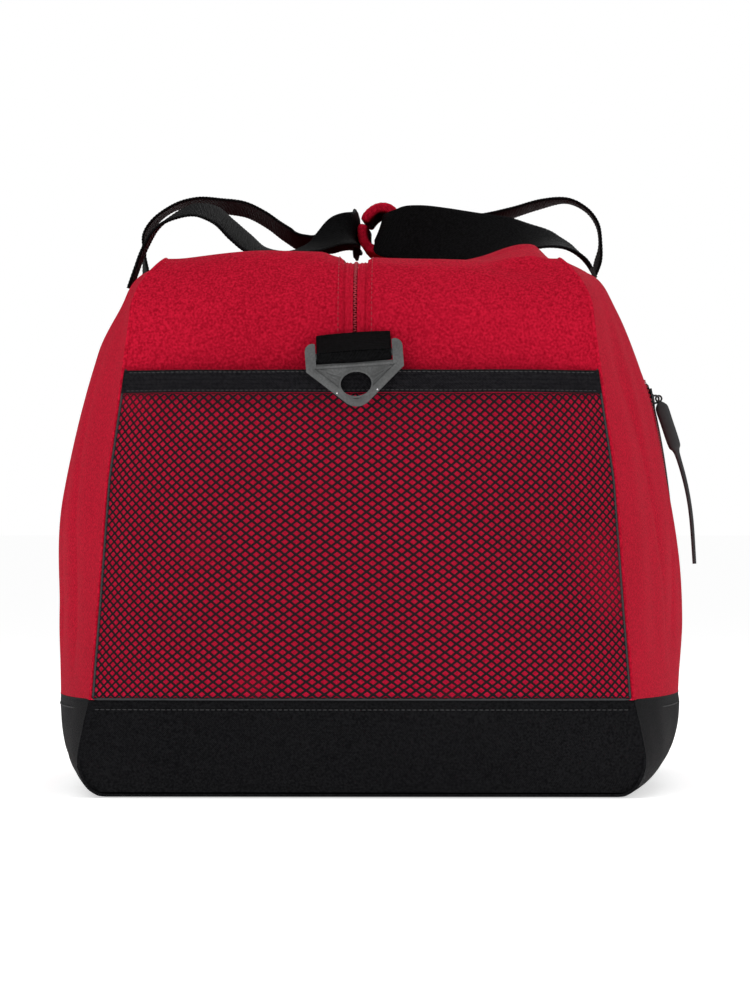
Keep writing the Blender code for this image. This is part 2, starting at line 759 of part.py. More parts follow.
def make_pocket_zips(finish, metal, pull_finish):
    length = pocket_frame()[2]
    for name, turn in (("right", False), ("left", True)):
        frame = zip_matrix(turn)
        reach = POCKET_SLOT_HALF - GAP
        for part, way in (("upper", 1), ("lower", -1)):
            bm = bmesh.new()
            inner, outer = sorted((way * (TEETH_HALF + 0.0002), way * reach))
            block(bm, (0, inner, -TAPE_THICK), (length, outer, 0), frame)
            add_object(f"pocket_zip_tape_{part}_{name}", bm, finish)
        bm = bmesh.new()
        block(bm, (0, -TEETH_HALF, -TEETH_HIGH / 2), (length, TEETH_HALF, TEETH_HIGH / 2), frame)
        add_object(f"pocket_zip_teeth_{name}", bm, finish)
        at = frame @ Matrix.Translation((SLIDER_LENGTH / 2 + 0.001, 0, 0.0011))
        make_slider(f"pocket_slider_{name}", at, metal)
        pin = bail_bar(at)
        rows = pocket_pull_rows(pin, -1 if turn else 1)
        make_pull(f"pocket_pull_{name}", pin, Vector((0, 1, 0)), rows, pull_finish)


# ---------------------------------------------------------------- handles and their wrap
# Each station of a handle: place, direction across the webbing, width. They run from the near end of
# the handle, over the middle, to its far end.
RIGHT_HANDLE = [
    ((0.1262, -0.110, 0.2880), (0, 1, 0), 0.038),
    ((0.1225, -0.109, 0.2938), (0, 1, 0), 0.038),
    ((0.1173, -0.108, 0.2988), (0, 1, 0.05), 0.038),
    ((0.1105, -0.107, 0.3028), (0, 1, 0.12), 0.038),
    ((0.1010, -0.105, 0.3055), (0, 1, 0.25), 0.038),
    ((0.0900, -0.102, 0.3066), (0, 0.9, 0.45), 0.038),
    ((0.0775, -0.100, 0.3072), (0, 0.76, 0.65), 0.038),
    ((0.0620, -0.097, 0.3080), (0, 0.64, 0.77), 0.037),
    ((0.0420, -0.094, 0.3095), (0, 0.48, 0.88), 0.036),
    ((0.0240, -0.089, 0.3112), (0.25, 0.25, 0.93), 0.034),
    ((0.0100, -0.079, 0.3125), (0.45, 0.1, 0.88), 0.030),
    ((0.0052, -0.062, 0.3148), (0.34, 0, 0.94), 0.0180),
    ((0.0045, -0.040, 0.3150), (0.34, 0, 0.94), 0.0160),
    ((0.0045, 0.000, 0.3150), (0.34, 0, 0.94), 0.0160),
    ((0.0045, 0.040, 0.3150), (0.34, 0, 0.94), 0.0160),
    ((0.0052, 0.062, 0.3150), (0.34, 0, 0.94), 0.0180),
    ((0.0110, 0.078, 0.3150), (0.25, -0.3, 0.9), 0.027),
    ((0.0240, 0.088, 0.3150), (0.1, -0.55, 0.8), 0.032),
    ((0.0420, 0.095, 0.3180), (0, -0.85, 0.5), 0.035),
    ((0.0600, 0.099, 0.3238), (0, -1, 0.25), 0.037),
    ((0.0775, 0.102, 0.3298), (0, -1, 0.12), 0.038),
    ((0.0953, 0.105, 0.3354), (0, -1, 0.09), 0.038),
    ((0.1110, 0.107, 0.3377), (0, -1, 0.02), 0.038),
    ((0.1228, 0.109, 0.3328), (0, -1, 0), 0.038),
    ((0.1297, 0.110, 0.3240), (0, -1, 0.02), 0.038),
    ((0.1317, 0.110, 0.3130), (0, -1, 0.05), 0.038),
    ((0.1300, 0.110, 0.3010), (0.1, -1, 0.05), 0.038),
    ((0.1262, 0.110, 0.2880), (0, -1, 0), 0.038),
]
LEFT_HANDLE = [
    ((-0.1350, -0.110, 0.2790), (0, 1, 0), 0.038),
    ((-0.1315, -0.110, 0.2890), (0, 1, 0), 0.038),
    ((-0.1272, -0.109, 0.3006), (0, 1, 0), 0.038),
    ((-0.1205, -0.108, 0.3120), (0, 1, 0.03), 0.038),
    ((-0.1103, -0.106, 0.3192), (0, 1, 0.12), 0.038),
    ((-0.0985, -0.104, 0.3230), (0, 1, 0.22), 0.038),
    ((-0.0870, -0.102, 0.3205), (0, 1, 0.3), 0.038),
    ((-0.0780, -0.100, 0.3125), (0, 1, 0.35), 0.038),
    ((-0.0690, -0.098, 0.3052), (0, 1, 0.32), 0.038),
    ((-0.0580, -0.096, 0.3004), (0, 1, 0.12), 0.037),
    ((-0.0450, -0.093, 0.2994), (0, 1, 0.08), 0.036),
    ((-0.0330, -0.089, 0.3022), (0, 1, 0.2), 0.032),
    ((-0.0225, -0.082, 0.3072), (0, 0.92, 0.38), 0.028),
    ((-0.0145, -0.071, 0.3122), (0, 0.72, 0.65), 0.024),
    ((-0.0108, -0.058, 0.3150), (0, 0.25, 0.97), 0.019),
    ((-0.0106, -0.030, 0.3135), (0, 0, 1), 0.028),
    ((-0.0106, 0.000, 0.3135), (0, 0, 1), 0.028),
    ((-0.0106, 0.030, 0.3135), (0, 0, 1), 0.028),
    ((-0.0108, 0.058, 0.3150), (0, -0.25, 0.97), 0.020),
    ((-0.0150, 0.071, 0.3150), (0, -0.72, 0.65), 0.025),
    ((-0.0235, 0.082, 0.3130), (0, -0.95, 0.35), 0.030),
    ((-0.0340, 0.089, 0.3115), (0, -1, 0.25), 0.034),
    ((-0.0456, 0.095, 0.3130), (0, -1, 0.26), 0.037),
    ((-0.0560, 0.098, 0.3190), (0, -1, 0.24), 0.038),
    ((-0.0660, 0.100, 0.3262), (0, -1, 0.22), 0.038),
    ((-0.0780, 0.102, 0.3322), (0, -1, 0.2), 0.038),
    ((-0.0920, 0.104, 0.3345), (0, -1, 0.18), 0.038),
    ((-0.1060, 0.106, 0.3362), (0, -1, 0.12), 0.038),
    ((-0.1200, 0.108, 0.3340), (0, -1, 0.03), 0.038),
    ((-0.1315, 0.109, 0.3265), (0, -1, 0.04), 0.038),
    ((-0.1376, 0.110, 0.3165), (0, -1, 0.12), 0.038),
    ((-0.1384, 0.110, 0.3050), (0.05, -1, 0.18), 0.038),
    ((-0.1372, 0.110, 0.2915), (0.12, -1, 0.1), 0.038),
    ((-0.1350, 0.110, 0.2790), (0, -1, 0), 0.038),
]


def webbing(stations, samples):
    """A closed strap along stations of place, direction across and width."""
    flat = [(*place, *across, width) for place, across, width in stations]
    bm = bmesh.new()
    rings = []
    for k in range(samples + 1):
        t = k / samples
        here = smooth_through(flat, t)
        before = smooth_through(flat, max(t - 0.004, 0))
        after = smooth_through(flat, min(t + 0.004, 1))
        along = (Vector(after[:3]) - Vector(before[:3])).normalized()
        across = Vector(here[3:6])
        across = (across - along * across.dot(along)).normalized()
        normal = along.cross(across)
        place, half = Vector(here[:3]), here[6] / 2
        corners = [(-half, -1), (half, -1), (half, 1), (-half, 1)]
        rings.append(
            [bm.verts.new(place + across * w + normal * (n * WEBBING_THICK / 2)) for w, n in corners]
        )
    for a, b in zip(rings, rings[1:]):
        for k in range(4):
            n = (k + 1) % 4
            bm.faces.new([a[k], a[n], b[n], b[k]])
    bm.faces.new(rings[0])
    bm.faces.new(rings[-1])
    return bm


def wrap_section(start, end, steps):
    """Part of the wrap's oval section, from start to end degrees, as a closed outline of (x, z)."""
    outer, inner = [], []
    for k in range(steps + 1):
        a = math.radians(start + (end - start) * k / steps)
        for ring, wall in ((outer, 0.0), (inner, WRAP_WALL)):
            x = (WRAP_HALF_WIDTH - wall) * math.cos(a)
            z = (WRAP_HALF_HEIGHT - wall) * math.sin(a)
            ring.append(leaning(x, z))
    return outer + inner[::-1]


def leaning(x, z):
    """A point of the wrap's section, which leans to the right."""
    c, s = math.cos(WRAP_TILT), math.sin(WRAP_TILT)
    return (x * c + z * s, z * c - x * s)


def make_handles(black, red):
    handles = (("left", LEFT_HANDLE, LEFT_ANCHOR), ("right", RIGHT_HANDLE, RIGHT_ANCHOR))
    for name, stations, (x, z) in handles:
        bm = webbing(stations, 78)
        add_object(f"handle_{name}", bm, black, origin=(x, 0.0, z), triangles=True)
    # local X across, local Y up, extruded along the bag
    frame = Matrix.Translation((GRIP_X, 0, GRIP_Z)) @ Matrix.Rotation(math.pi / 2, 4, "X")
    half = WRAP_LENGTH / 2
    lower = extruded(wrap_section(181, 358, 14), -half, half, frame)
    add_object("handle_wrap", lower, red, origin=(RIGHT_ANCHOR[0], 0.0, RIGHT_ANCHOR[1]))
    upper = extruded(wrap_section(2, 178, 14), -half, half, frame)
    x, z = leaning(WRAP_HALF_WIDTH, 0.0)
    add_object("wrap_flap", upper, red, origin=(GRIP_X + x, 0.0, GRIP_Z + z))


def main():
    clear_scene()
    red = material("red_cloth", RED, 0.75)
    black = material("black_cloth", BLACK, 0.8)
    net = material("black_net", BLACK, 0.7)
    elastic = material("black_elastic", BLACK, 0.6)
    web = material("black_webbing", BLACK, 0.65)
    zip_red = material("red_zip", RED, 0.5)
    zip_black = material("black_zip", BLACK, 0.5)
    board = material("grey_board", (0.05, 0.05, 0.05), 0.6)
    grey = material("grey_plastic", GREY, 0.4)
    metal = material("black_metal", (0.02, 0.02, 0.02), 0.35, 0.9)
    rubber = material("black_rubber", BLACK, 0.5)
    make_base(black)
    make_base_board(board)
    make_end_panels(red)
    make_side_panels(red)
    make_top_panels(red)
    make_pocket_bags(black)
    make_pockets(net, elastic)
    make_rings(web, grey)
    make_main_zip(zip_red)
    make_main_slider(metal, rubber)
    make_pocket_zips(zip_black, metal, rubber)
    make_handles(web, red)


main()
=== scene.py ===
"""Visual model of a soft sports equipment bag: black base, red panels, net end pockets, webbing handles.

Metres, +Z up. X runs across the bag, Y along it, and the near end faces -Y.
"""
import json
import math

import bmesh
import bpy
import numpy as np
from mathutils import Matrix, Vector, noise


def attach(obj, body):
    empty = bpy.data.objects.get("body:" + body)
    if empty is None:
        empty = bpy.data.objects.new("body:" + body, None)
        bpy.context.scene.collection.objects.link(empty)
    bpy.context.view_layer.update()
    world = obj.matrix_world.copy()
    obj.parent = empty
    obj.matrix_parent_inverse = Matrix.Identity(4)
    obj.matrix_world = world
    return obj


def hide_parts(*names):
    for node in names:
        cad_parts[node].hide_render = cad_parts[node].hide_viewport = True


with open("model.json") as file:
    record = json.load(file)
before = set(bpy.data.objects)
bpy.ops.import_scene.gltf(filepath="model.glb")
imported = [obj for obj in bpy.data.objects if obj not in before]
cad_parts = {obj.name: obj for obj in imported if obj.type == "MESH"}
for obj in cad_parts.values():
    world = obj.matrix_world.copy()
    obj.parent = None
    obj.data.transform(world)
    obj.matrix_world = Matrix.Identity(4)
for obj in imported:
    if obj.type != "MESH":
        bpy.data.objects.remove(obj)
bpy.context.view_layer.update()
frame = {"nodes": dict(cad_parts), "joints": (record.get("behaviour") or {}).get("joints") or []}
HINGES = {j["name"]: Vector(j["pos_m"]) for j in frame["joints"] if "pos_m" in j}

# ---------------------------------------------------------------- the bag's dimensions
END_SEAM_Y = 0.300  # the end panels' seams
TOP_Z = 0.292
TOP_ROLL = 0.032  # radius with which an end turns over into the top
BASE_HEIGHT = 0.052
BOTTOM_HALF_WIDTH = 0.138
CLOTH = 0.0016  # thickness of a panel
GAP = 0.0004  # space between neighbouring panels
END_BULGE = 0.007  # how far the middle of an end stands out
DROP_SEAM_Z = 0.2255  # seam between the end panel and the top panels
SHOULDER_X = 0.107  # seam between the top and side panels
CROWN_START = 0.2280  # below this the crown has no effect on the ends
ZIP_X = -0.0035  # the zip and the rings sit a little to the left
DIP_WIDTH = 0.0125  # width on each side of the mouth of the dip along the zip
ZIP_DIP_Z = 0.2903
FULL_TOP_LEFT = 0.2945  # height of the filled top on each side of the zip
FULL_TOP_RIGHT = 0.2906
SHOULDER_Z = 0.2905
MOUTH_HALF = 0.0065  # half the width between the folded edges along the zip
TAPE_HALF = 0.0125
ZIP_END_Z = 0.2385
ELASTIC_LOW = 0.2175
ELASTIC_HIGH = 0.2295
MOUTH_DEPTH = 0.0066
POCKET_SWELL = 0.0035
TAB_WIDTH = 0.040
TAB_TILT = math.radians(4)
RING_BAR_Z = 0.2375
RING_BAR_Y = 0.3180
GRIP_X = 0.0045
GRIP_Z = 0.3150
WRAP_LENGTH = 0.118
WRAP_HALF_WIDTH = 0.0130
WRAP_HALF_HEIGHT = 0.0160
WRAP_WALL = 0.0068
WRAP_TILT = math.radians(20)
POCKET_TOP = (-0.075, 0.2205)
POCKET_LOW = (0.075, 0.134)
POCKET_ZIP_SINK = 0.0016
POCKET_SLOT_HALF = 0.0058
MAIN_SLIDER_Y = 0.250
PULL_LEAN = math.radians(18.5)
PULL_BEND = math.radians(15)
PULL_GRIP = 0.026
PULL_BEND_LENGTH = 0.060
TEETH_HIGH = 0.0016

MIDDLE = Vector((0, 0, 0.15))


# ---------------------------------------------------------------- camera and light
def make_stage():
    """Camera level with the middle of the near end, a pale floor and soft light from all round."""
    near_middle = Vector((0, -0.300, 0.150))
    turn = math.radians(1.3)
    back = Vector((math.sin(turn), -math.cos(turn), 0))
    right = Vector((math.cos(turn), math.sin(turn), 0))
    distance = 4.0
    camera_data = bpy.data.cameras.new("camera")
    camera = bpy.data.objects.new("camera", camera_data)
    bpy.context.scene.collection.objects.link(camera)
    camera.location = near_middle + back * distance + right * 0.0073
    camera.rotation_euler = (-back).to_track_quat("-Z", "Y").to_euler()
    camera_data.sensor_width = 36.0
    camera_data.lens = 268.0
    camera_data.shift_y = 0.018
    camera_data.clip_end = 200.0
    bpy.context.scene.camera = camera
    bpy.context.scene.view_settings.view_transform = "Standard"

    world = bpy.data.worlds.new("studio")
    bpy.context.scene.world = world
    world.use_nodes = True
    nodes, links = world.node_tree.nodes, world.node_tree.links
    nodes.clear()
    seen = nodes.new("ShaderNodeBackground")
    seen.inputs["Strength"].default_value = 1.0
    seen.inputs["Color"].default_value = (1, 1, 1, 1)
    lit = nodes.new("ShaderNodeBackground")
    lit.inputs["Strength"].default_value = 0.46
    lit.inputs["Color"].default_value = (1, 1, 1, 1)
    path = nodes.new("ShaderNodeLightPath")
    mix = nodes.new("ShaderNodeMixShader")
    out = nodes.new("ShaderNodeOutputWorld")
    links.new(path.outputs["Is Camera Ray"], mix.inputs["Fac"])
    links.new(lit.outputs[0], mix.inputs[1])
    links.new(seen.outputs[0], mix.inputs[2])
    links.new(mix.outputs[0], out.inputs["Surface"])

    lamps = (
        ("key", (-1.2, -2.4, 2.2), 1.8, 27.0),
        ("fill", (1.9, -2.0, 1.3), 1.6, 11.0),
        ("top", (0.2, 0.4, 2.6), 2.2, 15.0),
        ("rear", (0.8, 2.6, 1.8), 1.6, 12.0),
    )
    for name, place, size, power in lamps:
        light = bpy.data.lights.new(name, "AREA")
        light.shape = "DISK"
        light.size = size
        light.energy = power
        lamp = bpy.data.objects.new(name, light)
        lamp.location = place
        lamp.rotation_euler = (MIDDLE - Vector(place)).to_track_quat("-Z", "Y").to_euler()
        bpy.context.scene.collection.objects.link(lamp)

    bm = bmesh.new()
    bmesh.ops.create_grid(bm, x_segments=1, y_segments=1, size=60.0)
    mesh = bpy.data.meshes.new("floor")
    bm.to_mesh(mesh)
    bm.free()
    floor = bpy.data.objects.new("floor", mesh)
    floor.location.z = -0.0006
    bpy.context.scene.collection.objects.link(floor)
    pale, _, _, shader = new_material("floor_white", (0.93, 0.93, 0.93), 0.85)
    shader.inputs["Specular IOR Level"].default_value = 0.0
    shader.inputs["Emission Color"].default_value = (1, 1, 1, 1)
    shader.inputs["Emission Strength"].default_value = 0.55
    mesh.materials.append(pale)


# ---------------------------------------------------------------- materials
def new_material(name, colour, roughness, **sockets):
    made = bpy.data.materials.new(name)
    made.use_nodes = True
    nodes, links = made.node_tree.nodes, made.node_tree.links
    shader = nodes["Principled BSDF"]
    shader.inputs["Base Color"].default_value = (*colour, 1.0)
    shader.inputs["Roughness"].default_value = roughness
    for socket, value in sockets.items():
        shader.inputs[socket.replace("_", " ")].default_value = value
    return made, nodes, links, shader


def maths(nodes, links, operation, *values, clamp=False):
    """A Math node over sockets or numbers, and its output."""
    node = nodes.new("ShaderNodeMath")
    node.operation = operation
    node.use_clamp = clamp
    for k, value in enumerate(values):
        if isinstance(value, (int, float)):
            node.inputs[k].default_value = value
        else:
            links.new(value, node.inputs[k])
    return node.outputs[0]


def wave_along(nodes, links, coordinates, direction, pitch):
    """Sine of the distance along direction, one period each pitch metres."""
    dot = nodes.new("ShaderNodeVectorMath")
    dot.operation = "DOT_PRODUCT"
    links.new(coordinates, dot.inputs[0])
    dot.inputs[1].default_value = tuple(2 * math.pi / pitch * c for c in direction)
    return maths(nodes, links, "SINE", dot.outputs["Value"])


def noise_of(nodes, links, coordinates, scale, detail=2.0):
    node = nodes.new("ShaderNodeTexNoise")
    node.inputs["Scale"].default_value = scale
    node.inputs["Detail"].default_value = detail
    links.new(coordinates, node.inputs["Vector"])
    return node.outputs["Fac"]


def colour_mix(nodes, links, factor, dark, light, shader):
    """Colours the shader between dark and light."""
    mix = nodes.new("ShaderNodeMix")
    mix.data_type = "RGBA"
    links.new(factor, mix.inputs["Factor"])
    mix.inputs["A"].default_value = (*dark, 1)
    mix.inputs["B"].default_value = (*light, 1)
    links.new(mix.outputs["Result"], shader.inputs["Base Color"])


def bump_of(nodes, links, height, distance, strength, shader):
    bump = nodes.new("ShaderNodeBump")
    bump.inputs["Strength"].default_value = strength
    bump.inputs["Distance"].default_value = distance
    links.new(height, bump.inputs["Height"])
    links.new(bump.outputs["Normal"], shader.inputs["Normal"])


def woven(name, dark, light, roughness, thread, twill, by="UV", relief=0.00012, sheen=0.0):
    """Woven cloth: crossing threads of one pitch, a diagonal twill of another, and slow variation in
    dye and gloss. by says which coordinates the threads follow."""
    made, nodes, links, shader = new_material(name, light, roughness)
    shader.inputs["Sheen Weight"].default_value = sheen
    shader.inputs["Sheen Roughness"].default_value = 0.45
    shader.inputs["Specular IOR Level"].default_value = 0.015
    coordinates = nodes.new("ShaderNodeTexCoord")
    threads = coordinates.outputs[by]
    place = coordinates.outputs["Object"]
    across = (1, 0, 0) if by == "UV" else (1, 0, 1)
    warp = wave_along(nodes, links, threads, (0, 1, 0), thread)
    weft = wave_along(nodes, links, threads, across, thread)
    slant = wave_along(nodes, links, threads, (across[0], 1, across[2]), twill)
    cross = maths(nodes, links, "MULTIPLY", warp, weft)
    weave = maths(nodes, links, "ADD", cross, slant)
    speckle = noise_of(nodes, links, place, 850.0, 1.0)
    slow = noise_of(nodes, links, place, 9.0, 3.0)
    tone = maths(nodes, links, "MULTIPLY_ADD", weave, 0.30, 0.28)
    tone = maths(nodes, links, "MULTIPLY_ADD", speckle, 2.2, tone)
    tone = maths(nodes, links, "MULTIPLY_ADD", slow, 0.5, tone)
    tone = maths(nodes, links, "SUBTRACT", tone, 1.13, clamp=True)
    colour_mix(nodes, links, tone, dark, light, shader)
    gloss = maths(nodes, links, "MULTIPLY_ADD", slow, 0.12, roughness - 0.06)
    links.new(gloss, shader.inputs["Roughness"])
    bump_of(nodes, links, maths(nodes, links, "ADD", weave, speckle), relief, 0.35, shader)
    return made


def moulded(name, dark, light, roughness, metallic=0.0, grain=900.0):
    """Moulded plastic, rubber or painted metal: a fine grain, with worn, lighter patches."""
    made, nodes, links, shader = new_material(name, light, roughness, Metallic=metallic)
    place = nodes.new("ShaderNodeTexCoord").outputs["Object"]
    fine = noise_of(nodes, links, place, grain, 2.0)
    worn = noise_of(nodes, links, place, 140.0, 4.0)
    tone = maths(nodes, links, "MULTIPLY", fine, worn)
    tone = maths(nodes, links, "MULTIPLY_ADD", tone, 2.4, -0.1, clamp=True)
    colour_mix(nodes, links, tone, dark, light, shader)
    gloss = maths(nodes, links, "MULTIPLY_ADD", worn, 0.25, roughness - 0.12)
    links.new(gloss, shader.inputs["Roughness"])
    bump_of(nodes, links, fine, 0.00005, 0.3, shader)
    return made


def net_material():
    """Black knitted polyester, with random patches of painted red light that stand for light reflected from
    the red cloth behind it.
    """
    made, nodes, links, shader = new_material("net_yarn_with_painted_red_light", (0.016, 0.012, 0.014), 0.62)
    shader.inputs["Specular IOR Level"].default_value = 0.1
    place = nodes.new("ShaderNodeTexCoord").outputs["Object"]
    # painted reflection: random patches where red light from the cloth behind is painted into the black yarn
    # colour
    patches = noise_of(nodes, links, place, 13.0, 1.0)
    patches = maths(nodes, links, "MULTIPLY_ADD", patches, 5.0, -3.05, clamp=True)
    colour_mix(nodes, links, patches, (0.008, 0.005, 0.008), (0.11, 0.006, 0.014), shader)
    bump_of(nodes, links, noise_of(nodes, links, place, 2600.0, 1.0), 0.0001, 0.4, shader)
    return made


def make_materials():
    red_dark, red_light = (0.260, 0.0025, 0.0120), (0.600, 0.0100, 0.0360)
    black_dark, black_light = (0.004, 0.004, 0.005), (0.016, 0.016, 0.018)
    found = {
        "red": woven("red_polyester", red_dark, red_light, 0.70, 0.00045, 0.0010),
        "wrap_red": woven(
            "red_polyester_wrap", red_dark, red_light, 0.70, 0.0005, 0.0012, by="Object"
        ),
        "black": woven(
            "black_polyester", (0.003, 0.003, 0.0035), (0.012, 0.012, 0.013), 0.62, 0.0004, 0.0010, sheen=0.0
        ),
        # painted light: a lighter copy of the red cloth for the end panels, making up for the shade the net
        # casts on them
        "end_red_painted_light": woven(
            "red_polyester_end_painted_light", (0.72, 0.006, 0.040), (0.96, 0.022, 0.085), 0.70, 0.00045, 0.0010
        ),
        "lining": woven(
            "black_lining", black_dark, (0.03, 0.03, 0.032), 0.75, 0.0006, 0.0015, sheen=0.0
        ),
        "net": net_material(),
        "elastic": woven(
            "black_elastic_knit", (0.004, 0.004, 0.005), (0.018, 0.017, 0.019), 0.7, 0.0007, 0.0014,
            sheen=0.0
        ),
        "webbing": woven(
            "black_webbing_weave", (0.0015, 0.0015, 0.0015), (0.0070, 0.0070, 0.0075), 0.6, 0.0011,
            0.0016, relief=0.0002, sheen=0.0,
        ),
        "zip_red": woven(
            "red_zip_tape", (0.34, 0.004, 0.016), (0.58, 0.012, 0.040), 0.62, 0.0005, 0.0011
        ),
        "zip_black": woven(
            "black_zip_tape", black_dark, black_light, 0.62, 0.0005, 0.0011, sheen=0.0
        ),
        "coil_red": moulded("red_nylon_coil", (0.25, 0.004, 0.012), (0.45, 0.012, 0.03), 0.42),
        "coil_black": moulded("black_nylon_coil", (0.006, 0.006, 0.007), (0.02, 0.02, 0.02), 0.4),
        "thread_red": moulded("red_thread", (0.24, 0.004, 0.012), (0.47, 0.012, 0.035), 0.6),
        "thread_black": moulded("black_thread", (0.008, 0.008, 0.009), (0.03, 0.03, 0.032), 0.6),
        "grey": moulded("grey_acetal", (0.035, 0.036, 0.036), (0.105, 0.107, 0.107), 0.42),
        "metal": moulded("black_coated_metal", (0.012, 0.012, 0.013), (0.05, 0.05, 0.052), 0.32, 0.6),
        "bright": moulded("bright_pin", (0.55, 0.56, 0.57), (0.8, 0.81, 0.82), 0.22, 0.9),
        "rubber": moulded("black_moulded_rubber", (0.007, 0.007, 0.008), (0.02, 0.02, 0.021), 0.48),
        "board": moulded("black_base_board", (0.02, 0.02, 0.021), (0.05, 0.05, 0.052), 0.6),
    }
    return found


# ---------------------------------------------------------------- helpers
def smooth_through(points, t):
    """The point at t, from 0 to 1, of a smooth curve through evenly timed points of any size."""
    last = len(points) - 1
    place = min(max(t, 0.0), 1.0) * last
    k = min(int(place), last - 1)
    x = place - k
    around = [points[min(max(k + n, 0), last)] for n in (-1, 0, 1, 2)]
    return [
        b + 0.5 * x * (c - a + x * (2 * a - 5 * b + 4 * c - d + x * (3 * (b - c) + d - a)))
        for a, b, c, d in zip(*around)
    ]


def by_height(table, z):
    for (z0, v0), (z1, v1) in zip(table, table[1:]):
        if z <= z1:
            return v0 + (v1 - v0) * max(0.0, (z - z0) / (z1 - z0))
    return table[-1][1]


def ease(x):
    x = min(max(x, 0.0), 1.0)
    return x * x * (3 - 2 * x)


def turned(points, turn):
    """Points, turned half a turn about Z if turn is set."""
    if not turn:
        return points
    points = points.copy()
    points[..., :2] *= -1
    return points


def arc(centre, radius, start, end, steps):
    """Points on an arc, in degrees."""
    found = []
    for k in range(steps + 1):
        a = math.radians(start + (end - start) * k / steps)
        found.append((centre[0] + radius * math.cos(a), centre[1] + radius * math.sin(a)))
    return found


def waves(p, size, seed):
    """Slow random waves, from -1 to 1, over about size metres."""
    return noise.noise(Vector(p) / size + Vector((seed, 1.7 * seed, -0.6 * seed)))


def crease(p, size, seed, narrow=3.0):
    """Random narrow ridges, from 0 to 1."""
    return max(0.0, 1 - narrow * abs(waves(p, size, seed))) ** 2


def finish_mesh(name, vertices, faces, finish, uv=None, sharp=40.0):
    mesh = bpy.data.meshes.new(name)
    mesh.from_pydata([tuple(v) for v in vertices], [], faces)
    if uv is not None:
        layer = mesh.uv_layers.new(name="cloth")
        corners = np.empty(len(mesh.loops), dtype=np.int32)
        mesh.loops.foreach_get("vertex_index", corners)
        layer.data.foreach_set("uv", np.asarray(uv, dtype=np.float32)[corners].ravel())
    bm = bmesh.new()
    bm.from_mesh(mesh)
    bmesh.ops.recalc_face_normals(bm, faces=bm.faces)
    bm.to_mesh(mesh)
    bm.free()
    mesh.materials.append(finish)
    mesh.shade_smooth()
    mesh.set_sharp_from_angle(angle=math.radians(sharp))
    made = bpy.data.objects.new(name, mesh)
    bpy.context.scene.collection.objects.link(made)
    return made


def place_on(made, body, slot, *stood_for):
    """Parents a finished piece to its body's empty, and hides the parts it stands for."""
    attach(made, body)
    if stood_for:
        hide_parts(*stood_for)
    return made


def grid_normals(points):
    du = np.gradient(points, axis=0)
    dv = np.gradient(points, axis=1)
    normals = np.cross(du, dv)
    normals /= np.maximum(np.linalg.norm(normals, axis=2, keepdims=True), 1e-12)
    away = np.sum(normals * (points - np.array(MIDDLE)), axis=2).mean()
    return normals if away > 0 else -normals


def sheet_mesh(name, points, thickness, finish, lift=None):
    """A closed sheet of cloth under a grid of points of its outer face. lift moves the outer face
    along its normals."""
    if lift is not None:
        points = points + grid_normals(points) * lift[..., None]
    normals = grid_normals(points)
    nu, nv = points.shape[0] - 1, points.shape[1] - 1
    vertices = np.concatenate([points.reshape(-1, 3), (points - normals * thickness).reshape(-1, 3)])
    count = (nu + 1) * (nv + 1)

    def at(i, j):
        return i * (nv + 1) + j

    faces = []
    for i in range(nu):
        for j in range(nv):
            corners = [at(i, j), at(i + 1, j), at(i + 1, j + 1), at(i, j + 1)]
            faces.append(corners)
            faces.append([k + count for k in reversed(corners)])
    rim = [at(i, 0) for i in range(nu)] + [at(nu, j) for j in range(nv)]
    rim += [at(i, nv) for i in range(nu, 0, -1)] + [at(0, j) for j in range(nv, 0, -1)]
    for a, b in zip(rim, rim[1:] + rim[:1]):
        faces.append([a, a + count, b + count, b])
    along = np.linalg.norm(np.diff(points[:, nv // 2], axis=0), axis=1)
    u = np.concatenate([[0], np.cumsum(along)])[:, None] + np.zeros((nu + 1, nv + 1))
    steps = np.linalg.norm(np.diff(points, axis=1), axis=2)
    v = np.concatenate([np.zeros((nu + 1, 1)), np.cumsum(steps, axis=1)], axis=1)
    v = v - v[:, -1:] / 2
    uv = np.stack([u, v], axis=-1).reshape(-1, 2)
    return finish_mesh(name, vertices, faces, finish, np.concatenate([uv, uv]))


def grid_of(point, nu, nv):
    return np.array([[tuple(point(i / nu, j / nv)) for j in range(nv + 1)] for i in range(nu + 1)])


def tube(path, radius, sides, closed=False, squash=1.0):
    """Vertices and faces of a tube along a path of points, with rounded ends unless it is closed."""
    path = np.asarray(path, dtype=float)
    count = len(path)
    along = np.gradient(path, axis=0)
    if closed:
        along = np.roll(path, -1, axis=0) - np.roll(path, 1, axis=0)
    along /= np.linalg.norm(along, axis=1, keepdims=True)
    radii = np.full(count, radius)
    if not closed:
        radii[0] = radii[-1] = radius * 0.45
    normal = np.cross(along[0], (0.31, 0.17, 0.93))
    vertices, faces = [], []
    for k in range(count):
        normal = normal - along[k] * normal.dot(along[k])
        normal /= np.linalg.norm(normal)
        other = np.cross(along[k], normal)
        for n in range(sides):
            a = 2 * math.pi * n / sides
            vertices.append(
                path[k] + radii[k] * (math.cos(a) * normal + math.sin(a) * other * squash)
            )
    for k in range(count if closed else count - 1):
        a, b = k * sides, ((k + 1) % count) * sides
        for n in range(sides):
            m = (n + 1) % sides
            faces.append([a + n, a + m, b + m, b + n])
    if not closed:
        faces.append(list(range(sides)))
        faces.append([(count - 1) * sides + n for n in reversed(range(sides))])
    return vertices, faces


def joined(parts):
    """Vertices and faces of several closed shapes in one mesh."""
    vertices, faces = [], []
    for some, more in parts:
        start = len(vertices)
        vertices += [tuple(v) for v in some]
        faces += [[k + start for k in face] for face in more]
    return vertices, faces


